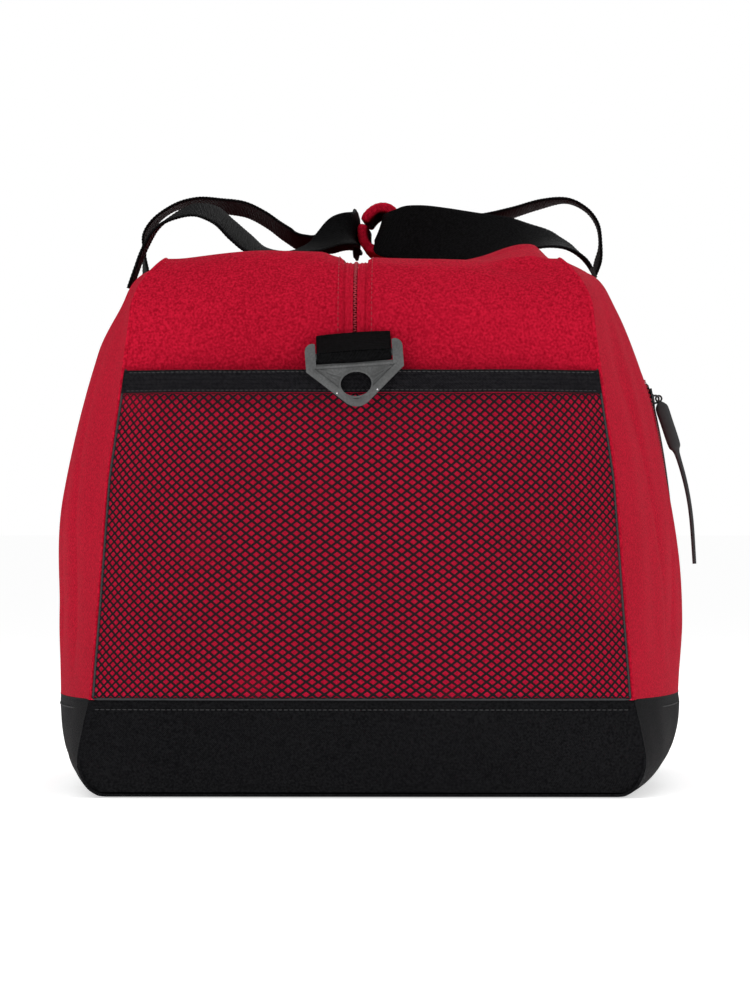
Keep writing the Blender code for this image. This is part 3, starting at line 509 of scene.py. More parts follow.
def resampled(path, pitch):
    """Points each pitch metres along a path, as an array."""
    path = np.asarray(path, dtype=float)
    steps = np.linalg.norm(np.diff(path, axis=0), axis=1)
    distance = np.concatenate([[0], np.cumsum(steps)])
    count = max(int(round(distance[-1] / pitch)), 1)
    wanted = np.linspace(0, distance[-1], count + 1)
    return np.stack([np.interp(wanted, distance, path[:, k]) for k in range(3)], axis=1)


def stitches(path, outward, pitch=0.0030, length=0.0022, radius=0.00032):
    """A row of stitches along a path, each one a small raised thread. outward is a function from a
    place to the direction that the cloth faces there, or one direction."""
    places = resampled(path, pitch)
    parts = []
    for a, b in zip(places, places[1:]):
        along = (b - a) / np.linalg.norm(b - a)
        middle = (a + b) / 2
        out = np.array(outward(middle) if callable(outward) else outward, dtype=float)
        out = out - along * out.dot(along)
        out /= np.linalg.norm(out)
        row = []
        for t, rise in ((-0.5, -0.6), (-0.28, 0.5), (0.0, 0.85), (0.28, 0.5), (0.5, -0.6)):
            row.append(middle + along * t * length + out * rise * radius)
        parts.append(tube(row, radius, 5))
    return joined(parts)


# ---------------------------------------------------------------- the bag's surface
EDGE_WIDTHS = [  # half the width of an end, from seam to seam, by height
    (0.0000, 0.1380), (0.0016, 0.1426), (0.0040, 0.1462), (0.0090, 0.1512),
    (0.0160, 0.1535), (0.0300, 0.1515), (0.0520, 0.1466), (0.1060, 0.1423),
    (0.1710, 0.1375), (0.2290, 0.1290), (0.2620, 0.1245),
]
ROLL_START = TOP_Z - TOP_ROLL
ROLL_END = ROLL_START + TOP_ROLL * math.pi / 2
TOP_MIDDLE = ROLL_END + END_SEAM_Y - TOP_ROLL

SIDE_PROFILE = [  # the swollen side half way along, (x, z), from the base's edge to the shoulder seam
    (0.1745, 0.0520), (0.1750, 0.0900), (0.1735, 0.1300), (0.1675, 0.1750),
    (0.1590, 0.2155), (0.1497, 0.2430), (0.1392, 0.2675), (0.1278, 0.2845),
    (0.1080, 0.2914),
]
BASE_PROFILE = [  # the base half way along, from its edge to the flat bottom
    (0.1745, 0.0520), (0.1728, 0.0350), (0.1680, 0.0190), (0.1590, 0.0065),
    (0.1475, 0.0012), (0.1380, 0.0000),
]
BASE_END_PROFILE = [  # the same at an end, (x, y, z)
    (0.1466, 0.3000, 0.0520), (0.1505, 0.3000, 0.0350), (0.1530, 0.3000, 0.0180),
    (0.1488, 0.2995, 0.0060), (0.1428, 0.2980, 0.0010), (0.1380, 0.2960, 0.0000),
]


def strip_half_width(s):
    """Half the width of the strip that runs up an end and over the top, s metres from the floor."""
    s = min(s, 2 * TOP_MIDDLE - s)
    if s <= ROLL_START:
        return by_height(EDGE_WIDTHS, s)
    start = by_height(EDGE_WIDTHS, ROLL_START)
    return start + (SHOULDER_X - start) * ease((s - ROLL_START) / (ROLL_END - ROLL_START))


def end_bulge(f, z):
    rise = min(max((z - 0.14) / 0.14, -1), 1)
    return END_BULGE * max(0.0, 1 - f**4) * (1 - rise**4)


def crown(x, half):
    """Height of the top at x across it: a dip at the zip, and lower again at the shoulder."""
    full = FULL_TOP_LEFT if x < ZIP_X else FULL_TOP_RIGHT
    beside = abs(x - ZIP_X)
    if beside < MOUTH_HALF + DIP_WIDTH:
        return ZIP_DIP_Z + (full - ZIP_DIP_Z) * ease((beside - MOUTH_HALF) / DIP_WIDTH)
    return full + (SHOULDER_Z - full) * ease((abs(x) / half - 0.45) / 0.55)


def strip(x, s):
    """A point of the strip up the near end and over to the far end, at x across it."""
    mirrored = s > TOP_MIDDLE
    if mirrored:
        s = 2 * TOP_MIDDLE - s
    f = min(abs(x) / strip_half_width(s), 1.0)
    if s <= ROLL_START:
        y, z = -END_SEAM_Y, s
    elif s <= ROLL_END:
        a = (s - ROLL_START) / TOP_ROLL
        y = -END_SEAM_Y + TOP_ROLL * (1 - math.cos(a))
        z = ROLL_START + TOP_ROLL * math.sin(a)
    else:
        y, z = -END_SEAM_Y + TOP_ROLL + (s - ROLL_END), TOP_Z
    y -= end_bulge(f, min(z, 0.28)) * (1 - ease((s - ROLL_START) / (ROLL_END - ROLL_START)))
    z += (crown(x, strip_half_width(s)) - TOP_Z) * ease((s - CROWN_START) / (ROLL_END - CROWN_START))
    return (x, -y if mirrored else y, z)


def fullness(u):
    return 1 - abs(2 * u - 1) ** 3.2


def side(u, v):
    """The right side: u runs from the near end to the far end, v from the base to the shoulder."""
    s = BASE_HEIGHT + (ROLL_END - BASE_HEIGHT) * v
    x, y, z = strip(strip_half_width(s), s)
    middle_x, middle_z = smooth_through(SIDE_PROFILE, v)
    full = fullness(u)
    return (x + (middle_x - x) * full, -y * (2 * u - 1), z + (middle_z - z) * full)


def base(u, v):
    """The base: v runs from its right edge under the bottom to its left edge."""
    flat = 0.36
    if v > 0.5:
        x, y, z = base(u, 1 - v)
        return (-x, y, z)
    if v < flat:
        end_x, end_y, end_z = smooth_through(BASE_END_PROFILE, v / flat)
        middle_x, middle_z = smooth_through(BASE_PROFILE, v / flat)
    else:
        end_x = middle_x = BOTTOM_HALF_WIDTH * (0.5 - v) / (0.5 - flat)
        end_y, end_z, middle_z = BASE_END_PROFILE[-1][1], 0.0, 0.0
    full = fullness(u)
    x = end_x + (middle_x - end_x) * full
    z = end_z + (middle_z - end_z) * full
    return (x, end_y * (2 * u - 1), max(z, 0.0))


def side_at(y, z):
    """The point of the right side at a given y and z, and its outward normal."""
    low, high = 0.0, 1.0
    for _ in range(40):
        v = (low + high) / 2
        reach = side(1.0, v)[1]
        u = (y / reach + 1) / 2
        if side(u, v)[2] < z:
            low = v
        else:
            high = v
    here = Vector(side(u, v))
    along = Vector(side(u + 0.01, v)) - here
    up = Vector(side(u, v + 0.01)) - here
    return here, along.cross(up).normalized()


def pocket_frame():
    """Start, direction, length and outward normal of the straight zip in the right side."""
    top, top_normal = side_at(*POCKET_TOP)
    low, low_normal = side_at(*POCKET_LOW)
    along = (low - top).normalized()
    normal = (top_normal + low_normal).normalized()
    normal = (normal - along * normal.dot(along)).normalized()
    return top - normal * POCKET_ZIP_SINK, along, (low - top).length, normal


def zip_matrix(turn):
    start, along, _, normal = pocket_frame()
    across = normal.cross(along)
    made = Matrix.Translation(start) @ Matrix((along, across, normal)).transposed().to_4x4()
    return Matrix.Rotation(math.pi, 4, "Z") @ made if turn else made


# ---------------------------------------------------------------- soft panels
def inside_border(u, v, width_u, width_v):
    return ease(min(u, 1 - u) / width_u) * ease(min(v, 1 - v) / width_v)


def side_lift(p, u, v, seed, to_zip, fuller):
    """How far the filled side stands out or sags in, besides its main shape. fuller adds to the upper
    part."""
    hang = Vector((p.x, p.y * 1.6, p.z * 0.55))
    lift = 0.0042 * waves(hang, 0.16, seed) + 0.0013 * waves(hang, 0.055, seed + 3)
    lift -= 0.0022 * crease(hang, 0.14, seed + 7)
    lift += fuller * ease((p.z - 0.10) / 0.06) * (1 - ease((p.z - 0.240) / 0.032))
    local = to_zip @ p
    length = pocket_frame_length
    along = max(-local.x, local.x - length, 0.0)
    clear = math.hypot(along, local.y)
    return lift * inside_border(u, v, 0.12, 0.14) * ease((clear - 0.009) / 0.03)


pocket_frame_length = pocket_frame()[2]


def make_sides(finishes):
    nu, nv = 150, 84
    made = []
    for name, turn, seed, fuller in (("right", False, 11.0, 0.0), ("left", True, 23.5, 0.0040)):
        edge = 0.0012
        points = grid_of(lambda u, v: side(u, edge + (1 - 2 * edge) * v), nu, nv)
        to_zip = zip_matrix(False).inverted()
        lift = np.zeros(points.shape[:2])
        for i in range(nu + 1):
            for j in range(nv + 1):
                p = Vector(points[i, j])
                lift[i, j] = side_lift(p, i / nu, j / nv, seed, to_zip, fuller)
        lifted = points + grid_normals(points) * lift[..., None]
        panel = sheet_mesh(f"side_cloth_{name}", turned(lifted, turn), CLOTH, finishes["red"])
        half = POCKET_SLOT_HALF
        outline = arc((0, 0), half, 90, 270, 10) + arc((pocket_frame_length, 0), half, -90, 90, 10)
        cutter = prism(outline, -0.014, 0.014, zip_matrix(turn), "slot_cutter", finishes["red"])
        cut_with(panel, cutter, "DIFFERENCE")
        place_on(panel, "bag", "red_cloth", f"side_panel_{name}")
        made.append(panel)
    return made


def prism(outline, low, high, matrix, name, finish):
    """A closed prism over an outline of (x, y) between two heights, placed by matrix."""
    count = len(outline)
    vertices = [matrix @ Vector((x, y, z)) for z in (low, high) for x, y in outline]
    faces = [[k, (k + 1) % count, (k + 1) % count + count, k + count] for k in range(count)]
    faces += [list(reversed(range(count))), list(range(count, 2 * count))]
    return finish_mesh(name, vertices, faces, finish)


def cut_with(target, tool, operation):
    """Applies a Boolean of tool to target, and removes tool."""
    step = target.modifiers.new("cut", "BOOLEAN")
    step.object = tool
    step.operation = operation
    step.solver = "EXACT"
    bake_modifiers(target)
    bpy.data.objects.remove(tool, do_unlink=True)


def bake_modifiers(target):
    """Replaces the mesh with its modified one, without modifiers."""
    bpy.context.view_layer.update()
    graph = bpy.context.evaluated_depsgraph_get()
    mesh = bpy.data.meshes.new_from_object(target.evaluated_get(graph))
    target.modifiers.clear()
    target.data = mesh


def bevelled(target, width, angle=35.0, segments=2):
    step = target.modifiers.new("soft edges", "BEVEL")
    step.width = width
    step.segments = segments
    step.limit_method = "ANGLE"
    step.angle_limit = math.radians(angle)
    bake_modifiers(target)
    target.data.shade_smooth()
    target.data.set_sharp_from_angle(angle=math.radians(50))


def top_lift(x, y, s, seed, way):
    """Soft shape of the top besides its crown: sag, small creases, and on the right a raised fold."""
    p = Vector((x, y, 0.0))
    lift = 0.0020 * waves(p, 0.11, seed) + 0.0009 * waves((x * 0.7, y * 1.8, 0), 0.05, seed + 5)
    lift -= 0.0014 * crease((x * 0.8, y * 1.6, 0.0), 0.10, seed + 9)
    if way > 0:
        fold = math.exp(-(((x - 0.0885) / 0.024) ** 2) - ((y + 0.205) / 0.036) ** 2)
        dent = math.exp(-(((x - 0.088) / 0.022) ** 2) - ((y + 0.284) / 0.009) ** 2)
        ridge = math.exp(-(((y + 0.270 + 0.25 * (x - 0.085)) / 0.0050) ** 2))
        ridge *= math.exp(-(((x - 0.092) / 0.018) ** 2))
        lift += 0.0105 * fold - 0.0042 * dent + 0.0026 * ridge
    return lift


def top_stations(start, count_roll, count_top):
    half = [start + (ROLL_START - start) * k / 8 for k in range(8)]
    half += [ROLL_START + (ROLL_END - ROLL_START) * k / count_roll for k in range(count_roll + 1)]
    half += [ROLL_END + (TOP_MIDDLE - ROLL_END) * k / count_top for k in range(1, count_top + 1)]
    return half + [2 * TOP_MIDDLE - s for s in reversed(half[:-1])]


def make_tops(finishes):
    """The two top panels, from the drop seam on the near end to that on the far end. Each one's inner edge
    has a small raised ridge and a dip along the zip."""
    stations = top_stations(DROP_SEAM_Z + GAP / 2, 14, 62)
    shares = [0.0, 0.006, 0.02, 0.045] + [0.08 + 0.92 * k / 44 for k in range(45)]
    for name, way, seed in (("left", -1, 4.2), ("right", 1, 9.7)):
        rows, lifts = [], []
        for s in stations:
            near_s = min(s, 2 * TOP_MIDDLE - s)
            on_end = 1 - ease((near_s - ROLL_START) / (ROLL_END - ROLL_START))
            half = strip_half_width(s) - 0.0004 - 0.0010 * (1 - on_end)
            row, row_lift = [], []
            for f in shares:
                inner = ZIP_X + way * MOUTH_HALF
                x = inner + (way * half - inner) * f
                point = strip(x, s)
                edge = ease(f / 0.10) * ease((1 - f) / 0.14)
                edge *= ease((near_s - DROP_SEAM_Z) / 0.03)
                amount = top_lift(x, point[1], s, seed, way) * edge
                fold = 0.0006 * math.exp(-(((f - 0.03) / 0.035) ** 2))
                row.append(point)
                row_lift.append(amount + fold - 0.0009 * math.exp(-((f / 0.012) ** 2)))
            rows.append(row)
            lifts.append(row_lift)
        points, lift = np.array(rows), np.array(lifts)
        made = sheet_mesh(f"top_cloth_{name}", points, CLOTH, finishes["red"], lift)
        place_on(made, "bag", "red_cloth", f"top_panel_{name}")


def make_base(finishes):
    inset = 0.001
    nu, nv = 110, 150
    points = grid_of(lambda u, v: base(u, inset + (1 - 2 * inset) * v), nu, nv)
    lift = np.zeros(points.shape[:2])
    for i in range(nu + 1):
        for j in range(nv + 1):
            p, u, v = Vector(points[i, j]), i / nu, j / nv
            off_floor = ease((p.z - 0.004) / 0.02)
            soft = 0.0018 * waves(p, 0.09, 31.0) + 0.0007 * waves(p, 0.03, 35.0)
            lift[i, j] = soft * off_floor * inside_border(u, v, 0.08, 0.03)
    made = sheet_mesh("base_cloth", points, CLOTH, finishes["black"], lift)
    place_on(made, "bag", "black_base", "base_wrap")
    for name, turn in (("near", False), ("far", True)):

        def end_piece(u, v):
            s = 0.0024 + (BASE_HEIGHT - GAP / 2 - 0.0024) * v
            half = strip_half_width(s) - GAP
            x, y, z = strip(half * (2 * u - 1), s)
            soft = 0.0012 * waves((x, y, z), 0.07, 41.0 + turn) * inside_border(u, v, 0.1, 0.3)
            return x, y + 0.0035 * (1 - v) ** 4 - soft, z

        points = turned(grid_of(end_piece, 90, 18), turn)
        made = sheet_mesh(f"end_base_cloth_{name}", points, CLOTH, finishes["black"])
        place_on(made, "bag", "black_base", f"end_base_{name}")


def end_panel_lift(x, z, seed):
    soft = 0.0026 * waves((x, z, 0), 0.075, seed) + 0.0011 * waves((x, z, 0), 0.03, seed + 2)
    return soft


def make_ends(finishes):
    for name, turn, seed in (("near", False, 51.0), ("far", True, 57.0)):

        def panel(u, v):
            low, high = BASE_HEIGHT + GAP / 2, DROP_SEAM_Z - GAP / 2
            s = low + (high - low) * v
            half = strip_half_width(s) - GAP
            x, y, z = strip(half * (2 * u - 1), s)
            fade = inside_border(u, v, 0.16, 0.2)
            return x, y - end_panel_lift(x, z, seed) * fade, z

        points = turned(grid_of(panel, 110, 70), turn)
        # the end cloth takes the lighter copy of the red: painted light standing in for the net's shade being
        # lifted
        made = sheet_mesh(f"end_cloth_{name}", points, CLOTH, finishes["end_red_painted_light"])
        place_on(made, "bag", "red_cloth", f"end_panel_{name}")


def make_linings(finishes):
    for name, turn in (("right", False), ("left", True)):

        def lining(u, v):
            y, z = -0.105 + 0.210 * u, 0.095 + 0.145 * v
            here, normal = side_at(y, z)
            depth = 0.0085 + 0.008 * ease(min(u, 1 - u, v, 1 - v) / 0.16)
            depth += 0.0018 * waves(here, 0.03, 61.0) * inside_border(u, v, 0.2, 0.2)
            return here - normal * depth

        points = turned(grid_of(lining, 44, 32), turn)
        made = sheet_mesh(f"pocket_lining_{name}", points, 0.0008, finishes["lining"])
        place_on(made, "bag", "lining", f"pocket_bag_{name}")
    frame["nodes"]["base_board"].data.materials.clear()
    frame["nodes"]["base_board"].data.materials.append(finishes["board"])


# ---------------------------------------------------------------- seams
def seam_piece(name, paths, radius, finish, slot):
    made = finish_mesh(name, *joined([tube(p, radius, 8) for p in paths]), finish)
    return place_on(made, "bag", slot)


def sunk(point, depth):
    """A point moved towards the middle of the bag's width and height."""
    p = Vector(point)
    inward = Vector((-p.x, -p.y * 0.5, 0.15 - p.z)).normalized()
    return p + inward * depth


def make_seams(finishes):
    """Welted seams: up the four corners and along the two shoulders in red, round the base in black."""
    red, black = [], []
    for way in (-1, 1):
        for turn in (1, -1):
            path = []
            for k in range(61):
                s = BASE_HEIGHT + (ROLL_END - BASE_HEIGHT) * k / 60
                x, y, z = strip(way * (strip_half_width(s) - 0.0006), s)
                path.append(sunk((x, y * turn, z), 0.0006))
            red.append(path)
        shoulder = [sunk((way * p[0], p[1], p[2]), 0.0012) for p in
                    (side(u / 120, 1.0) for u in range(121))]
        red.append(shoulder)
        edge = [sunk((way * p[0], p[1], p[2]), 0.0006) for p in
                (side(u / 120, 0.0) for u in range(121))]
        black.append(edge)
    for turn in (1, -1):
        half = strip_half_width(BASE_HEIGHT)
        across = []
        for k in range(81):
            x, y, z = strip(half * (2 * k / 80 - 1), BASE_HEIGHT)
            across.append((x, (y + 0.0006) * turn, z))
        black.append(across)
    seam_piece("red_seam_welts", red, 0.0012, finishes["red"], "red_cloth")
    seam_piece("black_seam_welts", black, 0.0007, finishes["black"], "black_base")


def make_topstitching(finishes):
    """Rows of thread beside the main zip, above the drop seams and along the base."""
    rows = []
    for x in (ZIP_X - 0.0090, ZIP_X + 0.0090):
        path = []
        for s in np.linspace(DROP_SEAM_Z + 0.012, 2 * TOP_MIDDLE - DROP_SEAM_Z - 0.012, 260):
            p = Vector(strip(x, s))
            ahead = Vector(strip(x, s + 0.001)) - p
            out = Vector((1, 0, 0)).cross(ahead).normalized()
            path.append(p + out * 0.0006)
        rows.append(stitches(path, lambda p: (0, p[1] * 2.5, p[2] - 0.15), radius=0.00026))
    made = finish_mesh("zip_topstitching", *joined(rows), finishes["thread_red"])
    place_on(made, "bag", "red_cloth")
    rows = []
    for turn in (1, -1):
        path = []
        for k in range(81):
            x, y, z = strip((strip_half_width(0.047) - 0.004) * (2 * k / 80 - 1), 0.047)
            path.append((x, (y - 0.0002) * turn, z))
        rows.append(stitches(path, (0, -turn, 0)))
        path = [(turn * side(u, 0.0)[0], side(u, 0.0)[1], 0.0470) for u in
                np.linspace(0.01, 0.99, 160)]
        rows.append(stitches(path, (turn, 0, 0)))
    made = finish_mesh("base_topstitching", *joined(rows), finishes["thread_black"])
    place_on(made, "bag", "black_base")


# ---------------------------------------------------------------- end pockets
def pocket_stand_off(f, z):
    down = min(max((z - BASE_HEIGHT) / (ELASTIC_HIGH - BASE_HEIGHT), 0.0), 1.0)
    depth = MOUTH_DEPTH + POCKET_SWELL * math.sin(math.pi * down) ** 2
    return GAP + depth * max(0.0, 1 - abs(f) ** 4) * ease(down / 0.12)


def pocket_point(f, z, extra, seed):
    """A point of an end pocket at f of the half width and height z. The net hangs in slow waves, and
    comes close to the cloth behind in some places."""
    half = strip_half_width(z) - 0.0015
    x, y, z = strip(half * f, z)
    off = pocket_stand_off(f, z)
    slack = 0.5 + 0.5 * waves((x, z, 0), 0.07, seed)
    off = max(off * (1 - 0.55 * slack * ease((0.214 - z) / 0.05)), min(off, 0.0034))
    return np.array((x, y - off - extra, z))


def net_mesh(name, finish, seed, turn):
    """A knitted net of staggered six-sided holes. Each strand is a ridge with four faces, so that the
    net is one closed mesh, and its cells narrow towards the seams."""
    columns, rows = 51, 72
    low, high = BASE_HEIGHT + 0.0010, ELASTIC_LOW - 0.0006
    strand, depth = 0.00058, 0.00042
    half_width = 0.137
    pitch_x = 2 * half_width / columns
    pitch_z = (high - low) / rows
    side_x, cap_x = 0.445 * pitch_x, 0.054 * pitch_x
    corners = [(side_x, 0), (cap_x, 1), (-cap_x, 1), (-side_x, 0), (-cap_x, -1), (cap_x, -1)]

    def place(x, z, out):
        f = x / half_width
        f = f * (1.16 - 0.16 * f * f)
        z = min(max(z, low), high)
        return pocket_point(min(max(f, -1.0), 1.0), z, 0.0005 + out, seed)

    vertices, faces, known = [], [], {}

    def vertex(x, z, out):
        key = (round(x * 2e6), round(z * 2e6), round(out * 1e6))
        if key not in known:
            known[key] = len(vertices)
            vertices.append(place(x, z, out))
        return known[key]

    for row in range(rows + 1):
        for column in range(-1, columns + 1):
            cx = -half_width + (column + 0.5 + 0.5 * (row % 2)) * pitch_x
            cz = low + row * pitch_z
            if abs(cx) > half_width + 0.2 * pitch_x:
                continue
            outer = []
            inner = []
            for x, z in corners:
                px, pz = cx + x, cz + z * pitch_z
                outer.append((max(-half_width, min(half_width, px)), max(low, min(high, pz))))
            count = len(outer)
            mid = (sum(p[0] for p in outer) / count, sum(p[1] for p in outer) / count)
            reach = min(max(abs(p[0] - mid[0]) for p in outer), max(abs(p[1] - mid[1]) for p in outer))
            if reach < strand * 1.7:
                continue
            for k in range(count):
                dx, dz = outer[k][0] - mid[0], outer[k][1] - mid[1]
                size = math.hypot(dx, dz)
                shrink = max(size - strand * (1.15 if k in (0, 3) else 1.5), 0.15 * size) / size
                inner.append((mid[0] + dx * shrink, mid[1] + dz * shrink))
            for k in range(count):
                n = (k + 1) % count
                if math.hypot(outer[k][0] - outer[n][0], outer[k][1] - outer[n][1]) < 1e-7:
                    continue
                top_k, top_n = vertex(*outer[k], depth), vertex(*outer[n], depth)
                low_k, low_n = vertex(*outer[k], -depth), vertex(*outer[n], -depth)
                mid_k, mid_n = vertex(*inner[k], 0.0), vertex(*inner[n], 0.0)
                faces.append([top_k, top_n, mid_n, mid_k])
                faces.append([low_n, low_k, mid_k, mid_n])
    vertices = turned(np.array(vertices), turn)
    return finish_mesh(name, vertices, faces, finish, sharp=75.0)


def make_pockets(finishes):
    for name, turn, seed in (("near", False, 71.0), ("far", True, 77.0)):
        made = net_mesh(f"pocket_net_{name}", finishes["net"], seed, turn)
        place_on(made, "bag", "black_net", f"mesh_pocket_{name}")

        def band(u, v):
            f = 2 * u - 1
            wave = 0.0007 * waves((f * 0.13, 0, 0), 0.05, seed + 9)
            z = ELASTIC_LOW - 0.0002 + (ELASTIC_HIGH - ELASTIC_LOW + 0.0002) * v + wave
            x, y, z = pocket_point(f, z, 0.0, seed)
            ribs = 0.00035 * abs(math.sin(math.pi * 5 * v)) ** 0.6
            return x, y - 0.0013 - ribs, z

        points = turned(grid_of(band, 130, 40), turn)
        elastic = sheet_mesh(f"pocket_band_{name}", points, 0.0015, finishes["elastic"])
        place_on(elastic, "bag", "black_elastic", f"pocket_elastic_{name}")
        rows = []
        for v in (0.10, 0.90):
            path = []
            for k in range(121):
                x, y, z = band(0.01 + 0.98 * k / 120, v)
                path.append((x, y - 0.0001, z))
            rows.append(turned_mesh(stitches(path, (0, -1, 0), 0.0026, 0.0018, 0.00026), turn))
        for f in (-1, 1):
            path = []
            for k in range(81):
                z = BASE_HEIGHT + 0.0006 + (ELASTIC_HIGH - BASE_HEIGHT) * k / 80
                x, y, z = strip(f * (strip_half_width(z) - 0.0022), z)
                path.append((x, y - 0.0008, z))
            rows.append(turned_mesh(tube(path, 0.0007, 8), turn))
        path = []
        for k in range(101):
            f = 2 * k / 100 - 1
            z = BASE_HEIGHT + 0.0007
            x, y, z = strip((strip_half_width(z) - 0.0022) * f, z)
            path.append((x, y - 0.0008, z))
        rows.append(turned_mesh(tube(path, 0.0007, 8), turn))
        edging = finish_mesh(f"pocket_binding_{name}", *joined(rows), finishes["thread_black"])
        place_on(edging, "bag", "black_elastic")


def turned_mesh(shape, turn):
    vertices, faces = shape
    return turned(np.array([tuple(v) for v in vertices]), turn), faces


# ---------------------------------------------------------------- webbing
def strap_mesh(name, stations, thickness, finish, ribs=0.0019, relief=0.13):
    """Ribbed webbing along stations of place, direction across and width: ribs run across it, and
    its two edges are rounded."""
    flat = [(*place, *across, width) for place, across, width in stations]
    rough = [Vector(smooth_through(flat, k / 900)[:3]) for k in range(901)]
    lengths = np.concatenate([[0], np.cumsum([(b - a).length for a, b in zip(rough, rough[1:])])])
    total = lengths[-1]
    count = int(total / ribs * 4)
    section = []
    for k in range(5):
        section.append((-1 + 2 * (0.06 + 0.88 * k / 4), 1.0))
    section += [(0.97, 0.75), (1.0, 0.0), (0.97, -0.75)]
    section += [(-x, -y) for x, y in section[:5]]
    section += [(-0.97, -0.75), (-1.0, 0.0), (-0.97, 0.75)]
    vertices, faces, uv = [], [], []
    for k in range(count + 1):
        distance = total * k / count
        t = float(np.interp(distance, lengths, np.linspace(0, 1, 901)))
        here = smooth_through(flat, t)
        before, after = smooth_through(flat, max(t - 0.004, 0)), smooth_through(flat, min(t + 0.004, 1))
        along = (Vector(after[:3]) - Vector(before[:3])).normalized()
        across = Vector(here[3:6])
        across = (across - along * across.dot(along)).normalized()
        normal = along.cross(across)
        place, half = Vector(here[:3]), here[6] / 2
        swell = 1 + relief * math.cos(2 * math.pi * distance / ribs)
        for w, n in section:
            cup = 0.0006 * (1 - w * w)
            vertices.append(place + across * (w * half) + normal * (n * thickness / 2 * swell + cup))
            uv.append((distance, w * half))
    size = len(section)
    for k in range(count):
        a, b = k * size, (k + 1) * size
        for n in range(size):
            m = (n + 1) % size
            faces.append([a + n, a + m, b + m, b + n])
    faces.append(list(range(size)))
    faces.append([count * size + n for n in reversed(range(size))])
    return finish_mesh(name, vertices, faces, finish, uv, sharp=60.0)


RIGHT_HANDLE = [  # place, direction across and width, from the near sewn end to the far one
    ((0.1262, -0.110, 0.2880), (0, 1, 0), 0.038), ((0.1225, -0.109, 0.2938), (0, 1, 0), 0.038),
    ((0.1173, -0.108, 0.2988), (0, 1, 0.05), 0.038), ((0.1105, -0.107, 0.3028), (0, 1, 0.12), 0.038),
    ((0.1010, -0.105, 0.3055), (0, 1, 0.25), 0.038), ((0.0900, -0.102, 0.3066), (0, 0.9, 0.45), 0.038),
    ((0.0775, -0.100, 0.3072), (0, 0.76, 0.65), 0.038), ((0.0620, -0.097, 0.3080), (0, 0.64, 0.77), 0.037),
    ((0.0420, -0.094, 0.3095), (0, 0.48, 0.88), 0.036), ((0.0240, -0.089, 0.3112), (0.25, 0.25, 0.93), 0.034),
    ((0.0100, -0.079, 0.3125), (0.45, 0.1, 0.88), 0.030), ((0.0052, -0.062, 0.3148), (0.34, 0, 0.94), 0.0180),
    ((0.0045, -0.040, 0.3150), (0.34, 0, 0.94), 0.0160), ((0.0045, 0.000, 0.3150), (0.34, 0, 0.94), 0.0160),
    ((0.0045, 0.040, 0.3150), (0.34, 0, 0.94), 0.0160), ((0.0052, 0.062, 0.3150), (0.34, 0, 0.94), 0.0180),
    ((0.0110, 0.078, 0.3150), (0.25, -0.3, 0.9), 0.027), ((0.0240, 0.088, 0.3150), (0.1, -0.55, 0.8), 0.032),
    ((0.0420, 0.095, 0.3180), (0, -0.85, 0.5), 0.035), ((0.0600, 0.099, 0.3238), (0, -1, 0.25), 0.037),
    ((0.0775, 0.102, 0.3298), (0, -1, 0.12), 0.038), ((0.0953, 0.105, 0.3354), (0, -1, 0.09), 0.038),
    ((0.1110, 0.107, 0.3377), (0, -1, 0.02), 0.038), ((0.1228, 0.109, 0.3328), (0, -1, 0), 0.038),
    ((0.1297, 0.110, 0.3240), (0, -1, 0.02), 0.038), ((0.1317, 0.110, 0.3130), (0, -1, 0.05), 0.038),
    ((0.1300, 0.110, 0.3010), (0.1, -1, 0.05), 0.038), ((0.1262, 0.110, 0.2880), (0, -1, 0), 0.038),
]
